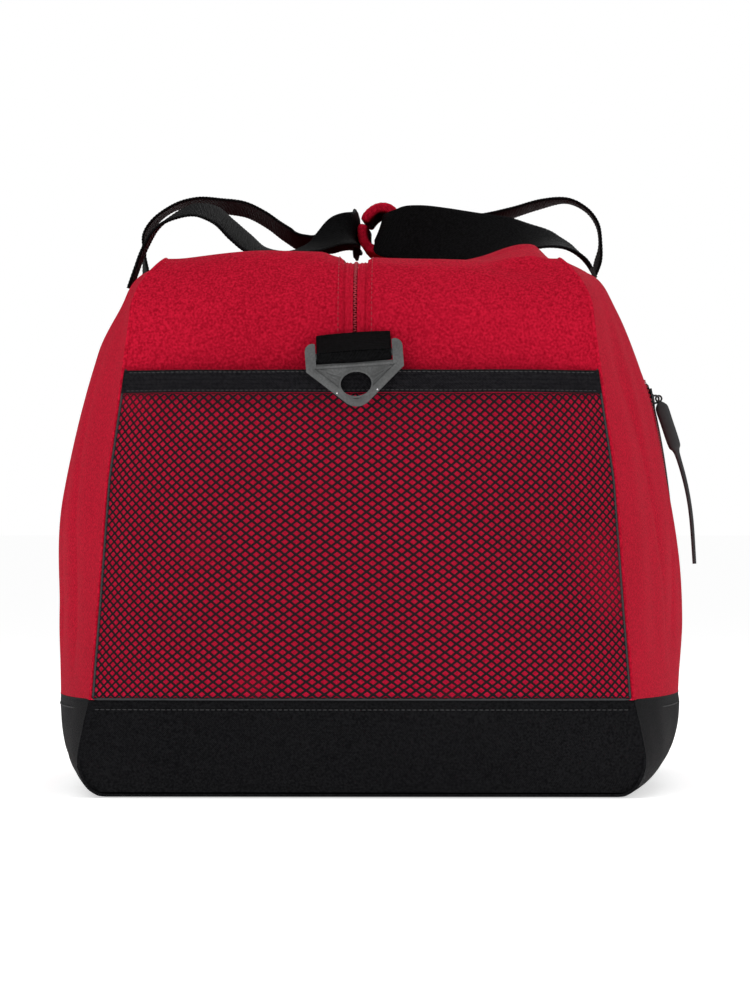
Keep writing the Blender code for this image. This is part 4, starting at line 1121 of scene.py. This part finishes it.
LEFT_HANDLE = [  # the same for the left one, whose webbing stands beside the wrap
    ((-0.1350, -0.110, 0.2790), (0, 1, 0), 0.038), ((-0.1315, -0.110, 0.2890), (0, 1, 0), 0.038),
    ((-0.1272, -0.109, 0.3006), (0, 1, 0), 0.038), ((-0.1205, -0.108, 0.3120), (0, 1, 0.03), 0.038),
    ((-0.1103, -0.106, 0.3192), (0, 1, 0.12), 0.038), ((-0.0985, -0.104, 0.3230), (0, 1, 0.22), 0.038),
    ((-0.0870, -0.102, 0.3205), (0, 1, 0.3), 0.038), ((-0.0780, -0.100, 0.3125), (0, 1, 0.35), 0.038),
    ((-0.0690, -0.098, 0.3052), (0, 1, 0.32), 0.038), ((-0.0580, -0.096, 0.3004), (0, 1, 0.12), 0.037),
    ((-0.0450, -0.093, 0.2994), (0, 1, 0.08), 0.036), ((-0.0330, -0.089, 0.3022), (0, 1, 0.2), 0.032),
    ((-0.0225, -0.082, 0.3072), (0, 0.92, 0.38), 0.028), ((-0.0145, -0.071, 0.3122), (0, 0.72, 0.65), 0.024),
    ((-0.0108, -0.058, 0.3150), (0, 0.25, 0.97), 0.019), ((-0.0106, -0.030, 0.3135), (0, 0, 1), 0.028),
    ((-0.0106, 0.000, 0.3135), (0, 0, 1), 0.028), ((-0.0106, 0.030, 0.3135), (0, 0, 1), 0.028),
    ((-0.0108, 0.058, 0.3150), (0, -0.25, 0.97), 0.020), ((-0.0150, 0.071, 0.3150), (0, -0.72, 0.65), 0.025),
    ((-0.0235, 0.082, 0.3130), (0, -0.95, 0.35), 0.030), ((-0.0340, 0.089, 0.3115), (0, -1, 0.25), 0.034),
    ((-0.0456, 0.095, 0.3130), (0, -1, 0.26), 0.037), ((-0.0560, 0.098, 0.3190), (0, -1, 0.24), 0.038),
    ((-0.0660, 0.100, 0.3262), (0, -1, 0.22), 0.038), ((-0.0780, 0.102, 0.3322), (0, -1, 0.2), 0.038),
    ((-0.0920, 0.104, 0.3345), (0, -1, 0.18), 0.038), ((-0.1060, 0.106, 0.3362), (0, -1, 0.12), 0.038),
    ((-0.1200, 0.108, 0.3340), (0, -1, 0.03), 0.038), ((-0.1315, 0.109, 0.3265), (0, -1, 0.04), 0.038),
    ((-0.1376, 0.110, 0.3165), (0, -1, 0.12), 0.038), ((-0.1384, 0.110, 0.3050), (0.05, -1, 0.18), 0.038),
    ((-0.1372, 0.110, 0.2915), (0.12, -1, 0.1), 0.038), ((-0.1350, 0.110, 0.2790), (0, -1, 0), 0.038),
]


def make_handles(finishes):
    for name, stations in (("left", LEFT_HANDLE), ("right", RIGHT_HANDLE)):
        made = strap_mesh(f"strap_{name}", stations, 0.0018, finishes["webbing"])
        place_on(made, f"handle_{name}", "black_webbing", f"handle_{name}")


def leaning(angle, depth=0.0):
    """A point of the wrap's oval section, depth inside its outer face. The oval leans to the right."""
    x = (WRAP_HALF_WIDTH - depth) * math.cos(angle)
    z = (WRAP_HALF_HEIGHT - depth) * math.sin(angle)
    c, s = math.cos(WRAP_TILT), math.sin(WRAP_TILT)
    return x * c + z * s, z * c - x * s


def half_wrap(start, end, inset):
    """Half of the padded wrap: part of an oval wall with rounded rims, in metres."""
    steps, length_steps = 26, 44
    wall = WRAP_WALL - 2 * inset
    half = WRAP_LENGTH / 2 - inset
    section = []
    for side_of_wall, order in ((0, range(steps + 1)), (1, range(steps, -1, -1))):
        for k in order:
            a = math.radians(start + (end - start) * k / steps)
            depth = inset + wall * side_of_wall
            section.append(leaning(a, depth))
    vertices, faces = [], []
    for j in range(length_steps + 1):
        y = -half + 2 * half * j / length_steps
        vertices += [(GRIP_X + x, y, GRIP_Z + z) for x, z in section]
    size = len(section)
    for j in range(length_steps):
        for k in range(size):
            n = (k + 1) % size
            faces.append([j * size + k, j * size + n, (j + 1) * size + n, (j + 1) * size + k])
    for j in (0, length_steps):
        for k in range(steps):
            far = size - 1 - k
            faces.append([j * size + k, j * size + k + 1, j * size + far - 1, j * size + far])
    return vertices, faces


def plumped(made, voxel, pressure, cap, frames):
    """Swells a closed shape with the cloth solver, moves no point further than cap, and applies it."""
    remesh = made.modifiers.new("even mesh", "REMESH")
    remesh.mode = "VOXEL"
    remesh.voxel_size = voxel
    bake_modifiers(made)
    start = np.array([v.co for v in made.data.vertices])
    scene = bpy.context.scene
    cloth = made.modifiers.new("plump", "CLOTH")
    cloth.settings.use_pressure = True
    cloth.settings.uniform_pressure_force = pressure
    cloth.settings.quality = 5
    cloth.settings.effector_weights.gravity = 0.0
    cloth.point_cache.frame_start = 1
    cloth.point_cache.frame_end = frames
    for k in range(1, frames + 1):
        scene.frame_set(k)
    bake_modifiers(made)
    scene.frame_set(1)
    moved = np.array([v.co for v in made.data.vertices]) - start
    far = np.linalg.norm(moved, axis=1, keepdims=True)
    moved *= np.minimum(1.0, cap / np.maximum(far, 1e-9))
    made.data.vertices.foreach_set("co", (start + moved).ravel())
    soften = made.modifiers.new("soften", "SMOOTH")
    soften.factor = 0.5
    soften.iterations = 3
    finer = made.modifiers.new("finer", "SUBSURF")
    finer.levels = finer.render_levels = 1
    bake_modifiers(made)
    made.data.shade_smooth()
    return made


def make_wrap(finishes):
    """The padded wrap round the right handle, and its flap, with a stitched hem round each half."""
    halves = (
        ("wrap_pad", 183, 357, "handle_right", "handle_wrap"),
        ("wrap_cover", 3, 177, "wrap_flap", "wrap_flap"),
    )
    for name, start, end, body, node in halves:
        made = finish_mesh(name, *half_wrap(start, end, 0.0007), finishes["wrap_red"])
        plumped(made, 0.0013, 3.0, 0.0007, 12)
        made.data.materials.clear()
        made.data.materials.append(finishes["wrap_red"])
        place_on(made, body, "red_wrap", node)
        rows = []
        low, high = math.radians(start + 12), math.radians(end - 12)
        half = WRAP_LENGTH / 2 - 0.005
        corners = []
        for y, a0, a1 in ((-half, low, high), (half, high, low)):
            for k in range(25):
                a = a0 + (a1 - a0) * k / 24
                x, z = leaning(a)
                corners.append((GRIP_X + x, y, GRIP_Z + z))
        corners.append(corners[0])
        snapped = []
        for p in resampled(corners, 0.0028):
            _, place, normal, _ = made.closest_point_on_mesh(Vector(p))
            snapped.append(place - normal * 0.00004)
        rows.append(
            stitches(snapped, lambda p: (p[0] - GRIP_X, 0.0, p[2] - GRIP_Z), 0.0030, 0.0022, 0.0002)
        )
        hem = finish_mesh(f"{name}_stitches", *joined(rows), finishes["thread_red"])
        place_on(hem, body, "red_wrap")


# ---------------------------------------------------------------- rings on webbing tabs
def ring_frame(turn):
    """The ring's bar: local X along the bar, Y into the bag, Z up."""
    x = -ZIP_X if turn else ZIP_X
    made = Matrix.Translation((x, -RING_BAR_Y, RING_BAR_Z)) @ Matrix.Rotation(-TAB_TILT, 4, "Y")
    return Matrix.Rotation(math.pi, 4, "Z") @ made if turn else made


def make_tab(name, turn, finishes):
    """Webbing folded round the ring's bar, with both layers sewn to the end above it."""
    matrix = ring_frame(turn)
    back = RING_BAR_Y - END_SEAM_Y - end_bulge(0.1, 0.25) - 0.0008
    path = [(back - 0.0022, 0.0109), (back - 0.0034, 0.0105)]
    path += arc((0, 0), 0.0033, 142, 318, 14)
    path += [(back - 0.0008, 0.0078), (back - 0.0007, 0.0109)]
    stations = []
    smooth = [smooth_through(path, k / 44) for k in range(45)]
    across = matrix.to_3x3() @ Vector((1, 0, 0))
    for y, z in smooth:
        stations.append((tuple(matrix @ Vector((0, y, z))), tuple(across), TAB_WIDTH))
    made = strap_mesh(f"tab_webbing_{name}", stations, 0.0013, finishes["webbing"], 0.0016, 0.10)
    place_on(made, "bag", "black_webbing", f"ring_tab_{name}")
    rows = []
    out = matrix.to_3x3() @ Vector((0, -1, 0.25))
    for z in (0.0108, 0.0084):
        y = back - 0.0030 - (0.0109 - z) * 0.55
        path = [matrix @ Vector((x, y, z)) for x in (-0.0185, 0.0185)]
        rows.append(stitches(path, out, 0.0026, 0.0019, 0.00030))
    tacks = finish_mesh(f"tab_stitches_{name}", *joined(rows), finishes["thread_black"])
    place_on(tacks, "bag", "black_webbing")


def flat_solid(outline, depth, matrix, name, finish, middle=0.0):
    """A plate over an outline of (x, z), depth thick about y = middle."""
    lay = matrix @ Matrix(((1, 0, 0, 0), (0, 0, -1, 0), (0, 1, 0, 0), (0, 0, 0, 1)))
    return prism(outline, -middle - depth / 2, -middle + depth / 2, lay, name, finish)


def band_outline(path, width):
    """The outline of a flat band of one width to the left of a path of (x, z)."""
    points = np.array(path)
    along = np.gradient(points, axis=0)
    along /= np.linalg.norm(along, axis=1, keepdims=True)
    left = np.stack([-along[:, 1], along[:, 0]], axis=1)
    inner = points + left * width
    return [tuple(p) for p in points] + [tuple(p) for p in inner[::-1]]


def make_ring(name, turn, finishes):
    """A moulded ring: a bar through the webbing, two ears, a cross bar, and a plate with a raised rim,
    an oval hole and ribs."""
    matrix = ring_frame(turn)
    grey = finishes["grey"]
    tip, tip_radius = (0.0, -0.0187), 0.0092
    ear_in, ear_out = 0.0206, 0.0262
    corner = arc((ear_out - 0.0042, 0.0030), 0.0042, 0, 90, 5)
    right = [(ear_out, -0.0078)] + corner + [(ear_in, 0.0068), (ear_in, -0.0042)]
    outline = right + [(-x, z) for x, z in reversed(right)]
    outline += arc(tip, tip_radius, 222, 318, 12)
    plate = flat_solid(outline, 0.0018, matrix, f"ring_plate_{name}", grey)
    hole = [(0.0083 * math.cos(a), -0.0158 + 0.0065 * math.sin(a))
            for a in np.linspace(0, 2 * math.pi, 40, endpoint=False)]
    wide = [(x * 1.13, -0.0158 + (z + 0.0158) * 1.17) for x, z in hole]
    added = [flat_solid(wide, 0.0034, matrix, "lip", grey, -0.0001)]
    vee = [(-ear_out, -0.0078)] + arc(tip, tip_radius, 222, 318, 12) + [(ear_out, -0.0078)]
    dense = [tuple(p[:2]) for p in resampled([(x, z, 0) for x, z in vee], 0.0012)]
    added.append(flat_solid(band_outline(dense, 0.0040), 0.0040, matrix, "rim", grey))
    for way in (-1, 1):
        ear = [(way * x, z) for x, z in [(ear_out, -0.0078)] + corner + [(ear_in, 0.0068)]]
        ear += [(way * ear_in, -0.0060)]
        added.append(flat_solid(ear, 0.0040, matrix, "ear", grey))
        for low_z, inner_x in ((-0.0150, 0.0070), (-0.0122, 0.0060)):
            rib = band_outline([(way * 0.0195, -0.0072), (way * inner_x, low_z)], 0.0007)
            added.append(flat_solid(rib, 0.0029, matrix, "rib", grey))
    bar_line = [(-ear_in - 0.001, -0.0064), (ear_in + 0.001, -0.0064),
                (ear_in + 0.001, -0.0052), (-ear_in - 0.001, -0.0052)]
    added.append(flat_solid(bar_line, 0.0034, matrix, "cross", grey))
    rod = [matrix @ Vector((x, 0, 0)) for x in (-0.0235, -0.0225, 0.0225, 0.0235)]
    added.append(finish_mesh("rod", *tube(rod, 0.0019, 16), grey))
    for part in added:
        cut_with(plate, part, "UNION")
    cut_with(plate, flat_solid(hole, 0.02, matrix, "hole", grey), "DIFFERENCE")
    bevelled(plate, 0.00028)
    place_on(plate, f"ring_{name}", "grey_plastic", f"ring_{name}")
    pins = []
    for x, z in ((-0.0105, -0.0200), (0.0112, -0.0195)):
        dome = bmesh.new()
        bmesh.ops.create_uvsphere(dome, u_segments=14, v_segments=9, radius=0.0006)
        shift = matrix @ Vector((x, -0.0018, z))
        pins.append(([v.co + shift for v in dome.verts],
                     [[v.index for v in f.verts] for f in dome.faces]))
        dome.free()
    studs = finish_mesh(f"ring_studs_{name}", *joined(pins), finishes["bright"])
    place_on(studs, f"ring_{name}", "grey_plastic")


# ---------------------------------------------------------------- zips
def ribbon_surface(s, x, depth):
    """A point on the main zip: at x across it, depth below the top's middle line."""
    middle = Vector(strip(ZIP_X, s))
    ahead = Vector(strip(ZIP_X, s + 5e-5)) - Vector(strip(ZIP_X, s - 5e-5))
    out = Vector((1, 0, 0)).cross(ahead).normalized()
    return Vector((ZIP_X + x, middle.y, middle.z)) - out * depth


def make_main_zip(finishes):
    """Ribbed tapes under the inner edges of the top, and a row of coil teeth between them."""
    stations = top_stations(ZIP_END_Z, 12, 70)
    depth = CLOTH + GAP
    for name, way in (("left", -1), ("right", 1)):
        rows = []
        for s in stations:
            row = []
            for k in range(25):
                f = k / 24
                x = way * (0.0011 + (TAPE_HALF - 0.0011) * f)
                rib = 0.00022 * math.cos(2 * math.pi * (abs(x) - 0.0011) / 0.0019)
                row.append(tuple(ribbon_surface(s, x, depth - rib + 0.0006 * (1 - f) ** 8)))
            rows.append(row)
        made = sheet_mesh(f"zip_ribbon_{name}", np.array(rows), 0.0006, finishes["zip_red"])
        place_on(made, "bag", "red_zip", f"main_zip_tape_{name}")
    path = [tuple(ribbon_surface(s, 0.0, depth + 0.0003)) for s in stations]
    coils = coil_teeth(path, 0.0013, 0.00095, lambda p: (0, p[1] * 2.5, p[2] - 0.15))
    teeth = finish_mesh("zip_coil_main", *coils, finishes["coil_red"])
    place_on(teeth, "bag", "red_zip", "main_zip_teeth")
    stops = []
    for s in (stations[0] + 0.0010, stations[-1] - 0.0010):
        a, b = ribbon_surface(s, -0.0022, depth - 0.0007), ribbon_surface(s, 0.0022, depth - 0.0007)
        stops.append(tube([a, a.lerp(b, 0.3), a.lerp(b, 0.7), b], 0.0008, 8))
    ends = finish_mesh("zip_end_stops", *joined(stops), finishes["coil_red"])
    place_on(ends, "bag", "red_zip")


def coil_teeth(path, pitch, reach, outward):
    """Zip teeth along a path: short crossing loops of nylon, slanting by turns."""
    places = resampled(path, pitch)
    parts = []
    for k, (a, b) in enumerate(zip(places, places[1:])):
        along = (b - a) / np.linalg.norm(b - a)
        out = np.array(outward((a + b) / 2), dtype=float)
        out -= along * out.dot(along)
        out /= np.linalg.norm(out)
        across = np.cross(along, out) * (1 if k % 2 else -1)
        middle = (a + b) / 2
        row = [
            middle + across * w * reach + along * w * pitch * 0.22 + out * (0.00045 * (1 - w * w))
            for w in (-1.0, -0.5, 0.0, 0.5, 1.0)
        ]
        parts.append(tube(row, pitch * 0.34, 6))
    return joined(parts)


def make_pocket_zips(finishes):
    length = pocket_frame_length
    for name, turn in (("right", False), ("left", True)):
        matrix = zip_matrix(turn)
        for part, way in (("upper", 1), ("lower", -1)):
            rows = []
            for i in range(91):
                along = -0.004 + (length + 0.008) * i / 90
                row = []
                for j in range(13):
                    y = way * (0.0010 + 0.0050 * j / 12)
                    dip = 0.0005 * (1 - j / 12) ** 3 + 0.00012 * math.cos(j * math.pi)
                    row.append(tuple(matrix @ Vector((along, y, -dip))))
                rows.append(row)
            tape = sheet_mesh(
                f"pocket_tape_{part}_{name}", np.array(rows), 0.0006, finishes["zip_black"]
            )
            place_on(tape, "bag", "black_zip", f"pocket_zip_tape_{part}_{name}")
        out = matrix.to_3x3() @ Vector((0, 0, 1))
        path = [matrix @ Vector((x, 0, -0.0001)) for x in (0.0, length)]
        teeth = finish_mesh(
            f"pocket_coil_{name}", *coil_teeth(path, 0.0013, 0.00095, lambda p: out),
            finishes["coil_black"],
        )
        place_on(teeth, "bag", "black_zip", f"pocket_zip_teeth_{name}")
        rows = []
        reach = POCKET_SLOT_HALF + 0.0024
        loop = arc((0, 0), reach, 90, 270, 14) + arc((length, 0), reach, -90, 90, 14)
        loop.append(loop[0])
        path = []
        for x, y in resampled([(x, y, 0) for x, y in loop], 0.002)[:, :2]:
            flat = zip_matrix(False) @ Vector((x, y, 0))
            here, normal = side_at(flat.y, flat.z)
            here = here + normal * 0.00025
            path.append((-here.x, -here.y, here.z) if turn else tuple(here))
        rows.append(stitches(path, lambda p: (p[0], 0, 0), 0.0028, 0.0020, 0.00028))
        edges = []
        for edge in (-1, 1):
            line = []
            for x in np.linspace(-0.002, length + 0.002, 90):
                flat = zip_matrix(False) @ Vector((x, edge * (POCKET_SLOT_HALF - 0.0004), 0))
                here, normal = side_at(flat.y, flat.z)
                here = here + normal * (0.0022 if turn else 0.0004)
                line.append((-here.x, -here.y, here.z) if turn else tuple(here))
            edges.append(tube(line, 0.0018 if turn else 0.0011, 10))
        piping = finish_mesh(f"pocket_piping_{name}", *joined(edges), finishes["zip_black"])
        place_on(piping, "bag", "black_zip")
        seam = finish_mesh(f"pocket_topstitching_{name}", *joined(rows), finishes["thread_red"])
        place_on(seam, "bag", "red_cloth")


def make_slider(name, matrix, bail_turn, body, finishes):
    """A slider: a waisted top plate with turned-down flanges, a raised middle and a bail."""
    half, long, high, wall = 0.0044, 0.0065, 0.0030, 0.0009
    metal = finishes["metal"]
    top_line = [
        (-long, -half * 0.86), (-long * 0.7, -half), (0, -half * 0.86), (long * 0.8, -half * 0.62),
        (long, -half * 0.42), (long, half * 0.42), (long * 0.8, half * 0.62), (0, half * 0.86),
        (-long * 0.7, half), (-long, half * 0.86),
    ]
    plate = prism(top_line, high - wall, high, matrix, f"{name}_plate", metal)
    for way in (-1, 1):
        line = [(x, y) for x, y in top_line if y * way > 0]
        line = sorted(line)
        flange = line + [(x, y - way * wall) for x, y in reversed(line)]
        cut_with(plate, prism(flange, 0.0002, high, matrix, "flange", metal), "UNION")
    ridge = [(-0.004, -0.0012), (0.004, -0.0009), (0.004, 0.0009), (-0.004, 0.0012)]
    cut_with(plate, prism(ridge, high - wall, high + 0.0004, matrix, "ridge", metal), "UNION")
    turn = matrix @ Matrix.Rotation(bail_turn, 4, "Z")
    arch = [(-0.0042, 0.0000), (-0.0040, 0.0018), (-0.0026, 0.0030), (0.0, 0.0033),
            (0.0026, 0.0030), (0.0040, 0.0018), (0.0042, 0.0000)]
    path = [turn @ Vector((x, 0, high - 0.0004 + z)) for x, z in
            (smooth_through(arch, k / 24) for k in range(25))]
    bail = finish_mesh("bail", *tube(path, 0.0006, 10), metal)
    cut_with(plate, bail, "UNION")
    bevelled(plate, 0.0002)
    place_on(plate, body, "black_metal", name)


def pull_shape(rows, bend):
    """A moulded pull from rows of (distance, half width, half depth). bend gives the place and the
    direction of its middle line at a distance. The rounded section has sixteen points."""
    vertices, faces = [], []
    sides = 16
    steps = 56
    for k in range(steps + 1):
        distance, wide, deep = smooth_through(rows, k / steps)
        place, along, across = bend(distance)
        other = along.cross(across)
        for n in range(sides):
            a = 2 * math.pi * n / sides
            c, s = math.cos(a), math.sin(a)
            c = math.copysign(abs(c) ** 0.6, c)
            s = math.copysign(abs(s) ** 0.6, s)
            vertices.append(place + across * (c * wide) + other * (s * deep))
    for k in range(steps):
        for n in range(sides):
            m = (n + 1) % sides
            faces.append([k * sides + n, k * sides + m, (k + 1) * sides + m, (k + 1) * sides + n])
    faces.append(list(range(sides)))
    faces.append([steps * sides + n for n in reversed(range(sides))])
    return vertices, faces


def hanging(distance, way):
    """The direction of a pocket pull at a distance from its pin: it leans out, and its tail less."""
    a = PULL_LEAN - PULL_BEND * ease((distance - PULL_GRIP) / PULL_BEND_LENGTH)
    return Vector((math.sin(a) * way, 0, -math.cos(a)))


def make_pulls(finishes):
    """Moulded pulls with a round eye, a grip and a tapering tail."""
    for name, way in (("right", 1), ("left", -1)):
        pin = HINGES[f"pocket_pull_{name}_hinge"]

        def bend(distance, way=way, pin=pin):
            travelled = Vector((0, 0, 0))
            steps = 24
            for k in range(steps):
                travelled += hanging(distance * (k + 0.5) / steps, way) * distance / steps
            along = hanging(distance, way)
            return pin + travelled, along, Vector((-along.z, 0, along.x))

        rows = [
            (0.0020, 0.0012, 0.0010), (0.0035, 0.0026, 0.0015), (0.0060, 0.0037, 0.0019),
            (0.0140, 0.0037, 0.0020), (0.0230, 0.0037, 0.0020), (0.0285, 0.0034, 0.0018),
            (0.0310, 0.0021, 0.0014), (0.0350, 0.0015, 0.0012), (0.0480, 0.0013, 0.0011),
            (0.0620, 0.0012, 0.0010), (0.0760, 0.0012, 0.0010), (0.0965, 0.0011, 0.0009),
        ]
        pull_with_eye(f"pull_{name}", rows, bend, pin, Vector((0, 1, 0)), finishes)
        placed = bpy.data.objects[f"pull_{name}"]
        place_on(placed, f"pocket_pull_{name}", "black_rubber", f"pocket_pull_{name}")
    pin = HINGES["main_pull_hinge"]

    def straight(distance):
        return pin - Vector((0, distance, 0)), Vector((0, -1, 0)), Vector((1, 0, 0))

    rows = [
        (0.0020, 0.0012, 0.0007), (0.0035, 0.0026, 0.0008), (0.0060, 0.0037, 0.0010),
        (0.0140, 0.0037, 0.0011), (0.0230, 0.0037, 0.0011), (0.0285, 0.0034, 0.0011),
        (0.0310, 0.0021, 0.0010), (0.0350, 0.0015, 0.0008), (0.0500, 0.0013, 0.0008),
        (0.0660, 0.0012, 0.0007),
    ]
    pull_with_eye("pull_main", rows, straight, pin, Vector((1, 0, 0)), finishes)
    place_on(bpy.data.objects["pull_main"], "main_pull", "black_rubber", "main_pull")


def pull_with_eye(name, rows, bend, pin, axis, finishes):
    grip = finish_mesh(name, *pull_shape(rows, bend), finishes["rubber"])
    _, along, _ = bend(0.0)
    other = axis.cross(along)
    ring = []
    for k in range(28):
        a = 2 * math.pi * k / 28
        ring.append(pin + (along * math.cos(a) + other * math.sin(a)) * 0.00165)
    eye = finish_mesh("eye", *tube(ring, 0.00055, 10, closed=True), finishes["rubber"])
    cut_with(grip, eye, "UNION")
    grip.data.shade_smooth()
    grip.data.set_sharp_from_angle(angle=math.radians(50))


def make_sliders(finishes):
    top = strip(ZIP_X, TOP_MIDDLE)[2] - (CLOTH + GAP) + TEETH_HIGH
    matrix = Matrix.Translation((ZIP_X, MAIN_SLIDER_Y, top)) @ Matrix.Rotation(math.pi / 2, 4, "Z")
    make_slider("main_slider", matrix, math.pi / 2, "main_slider", finishes)
    for name, turn in (("right", False), ("left", True)):
        at = zip_matrix(turn) @ Matrix.Translation((0.0075, 0, 0.0011))
        make_slider(f"pocket_slider_{name}", at, 0.0, f"pocket_slider_{name}", finishes)


# ---------------------------------------------------------------- everything
def main():
    finishes = make_materials()
    make_stage()
    make_base(finishes)
    make_ends(finishes)
    make_sides(finishes)
    make_tops(finishes)
    make_linings(finishes)
    make_seams(finishes)
    make_topstitching(finishes)
    make_pockets(finishes)
    make_handles(finishes)
    make_wrap(finishes)
    for name, turn in (("near", False), ("far", True)):
        make_tab(name, turn, finishes)
        make_ring(name, turn, finishes)
    make_main_zip(finishes)
    make_pocket_zips(finishes)
    make_sliders(finishes)
    make_pulls(finishes)


main()
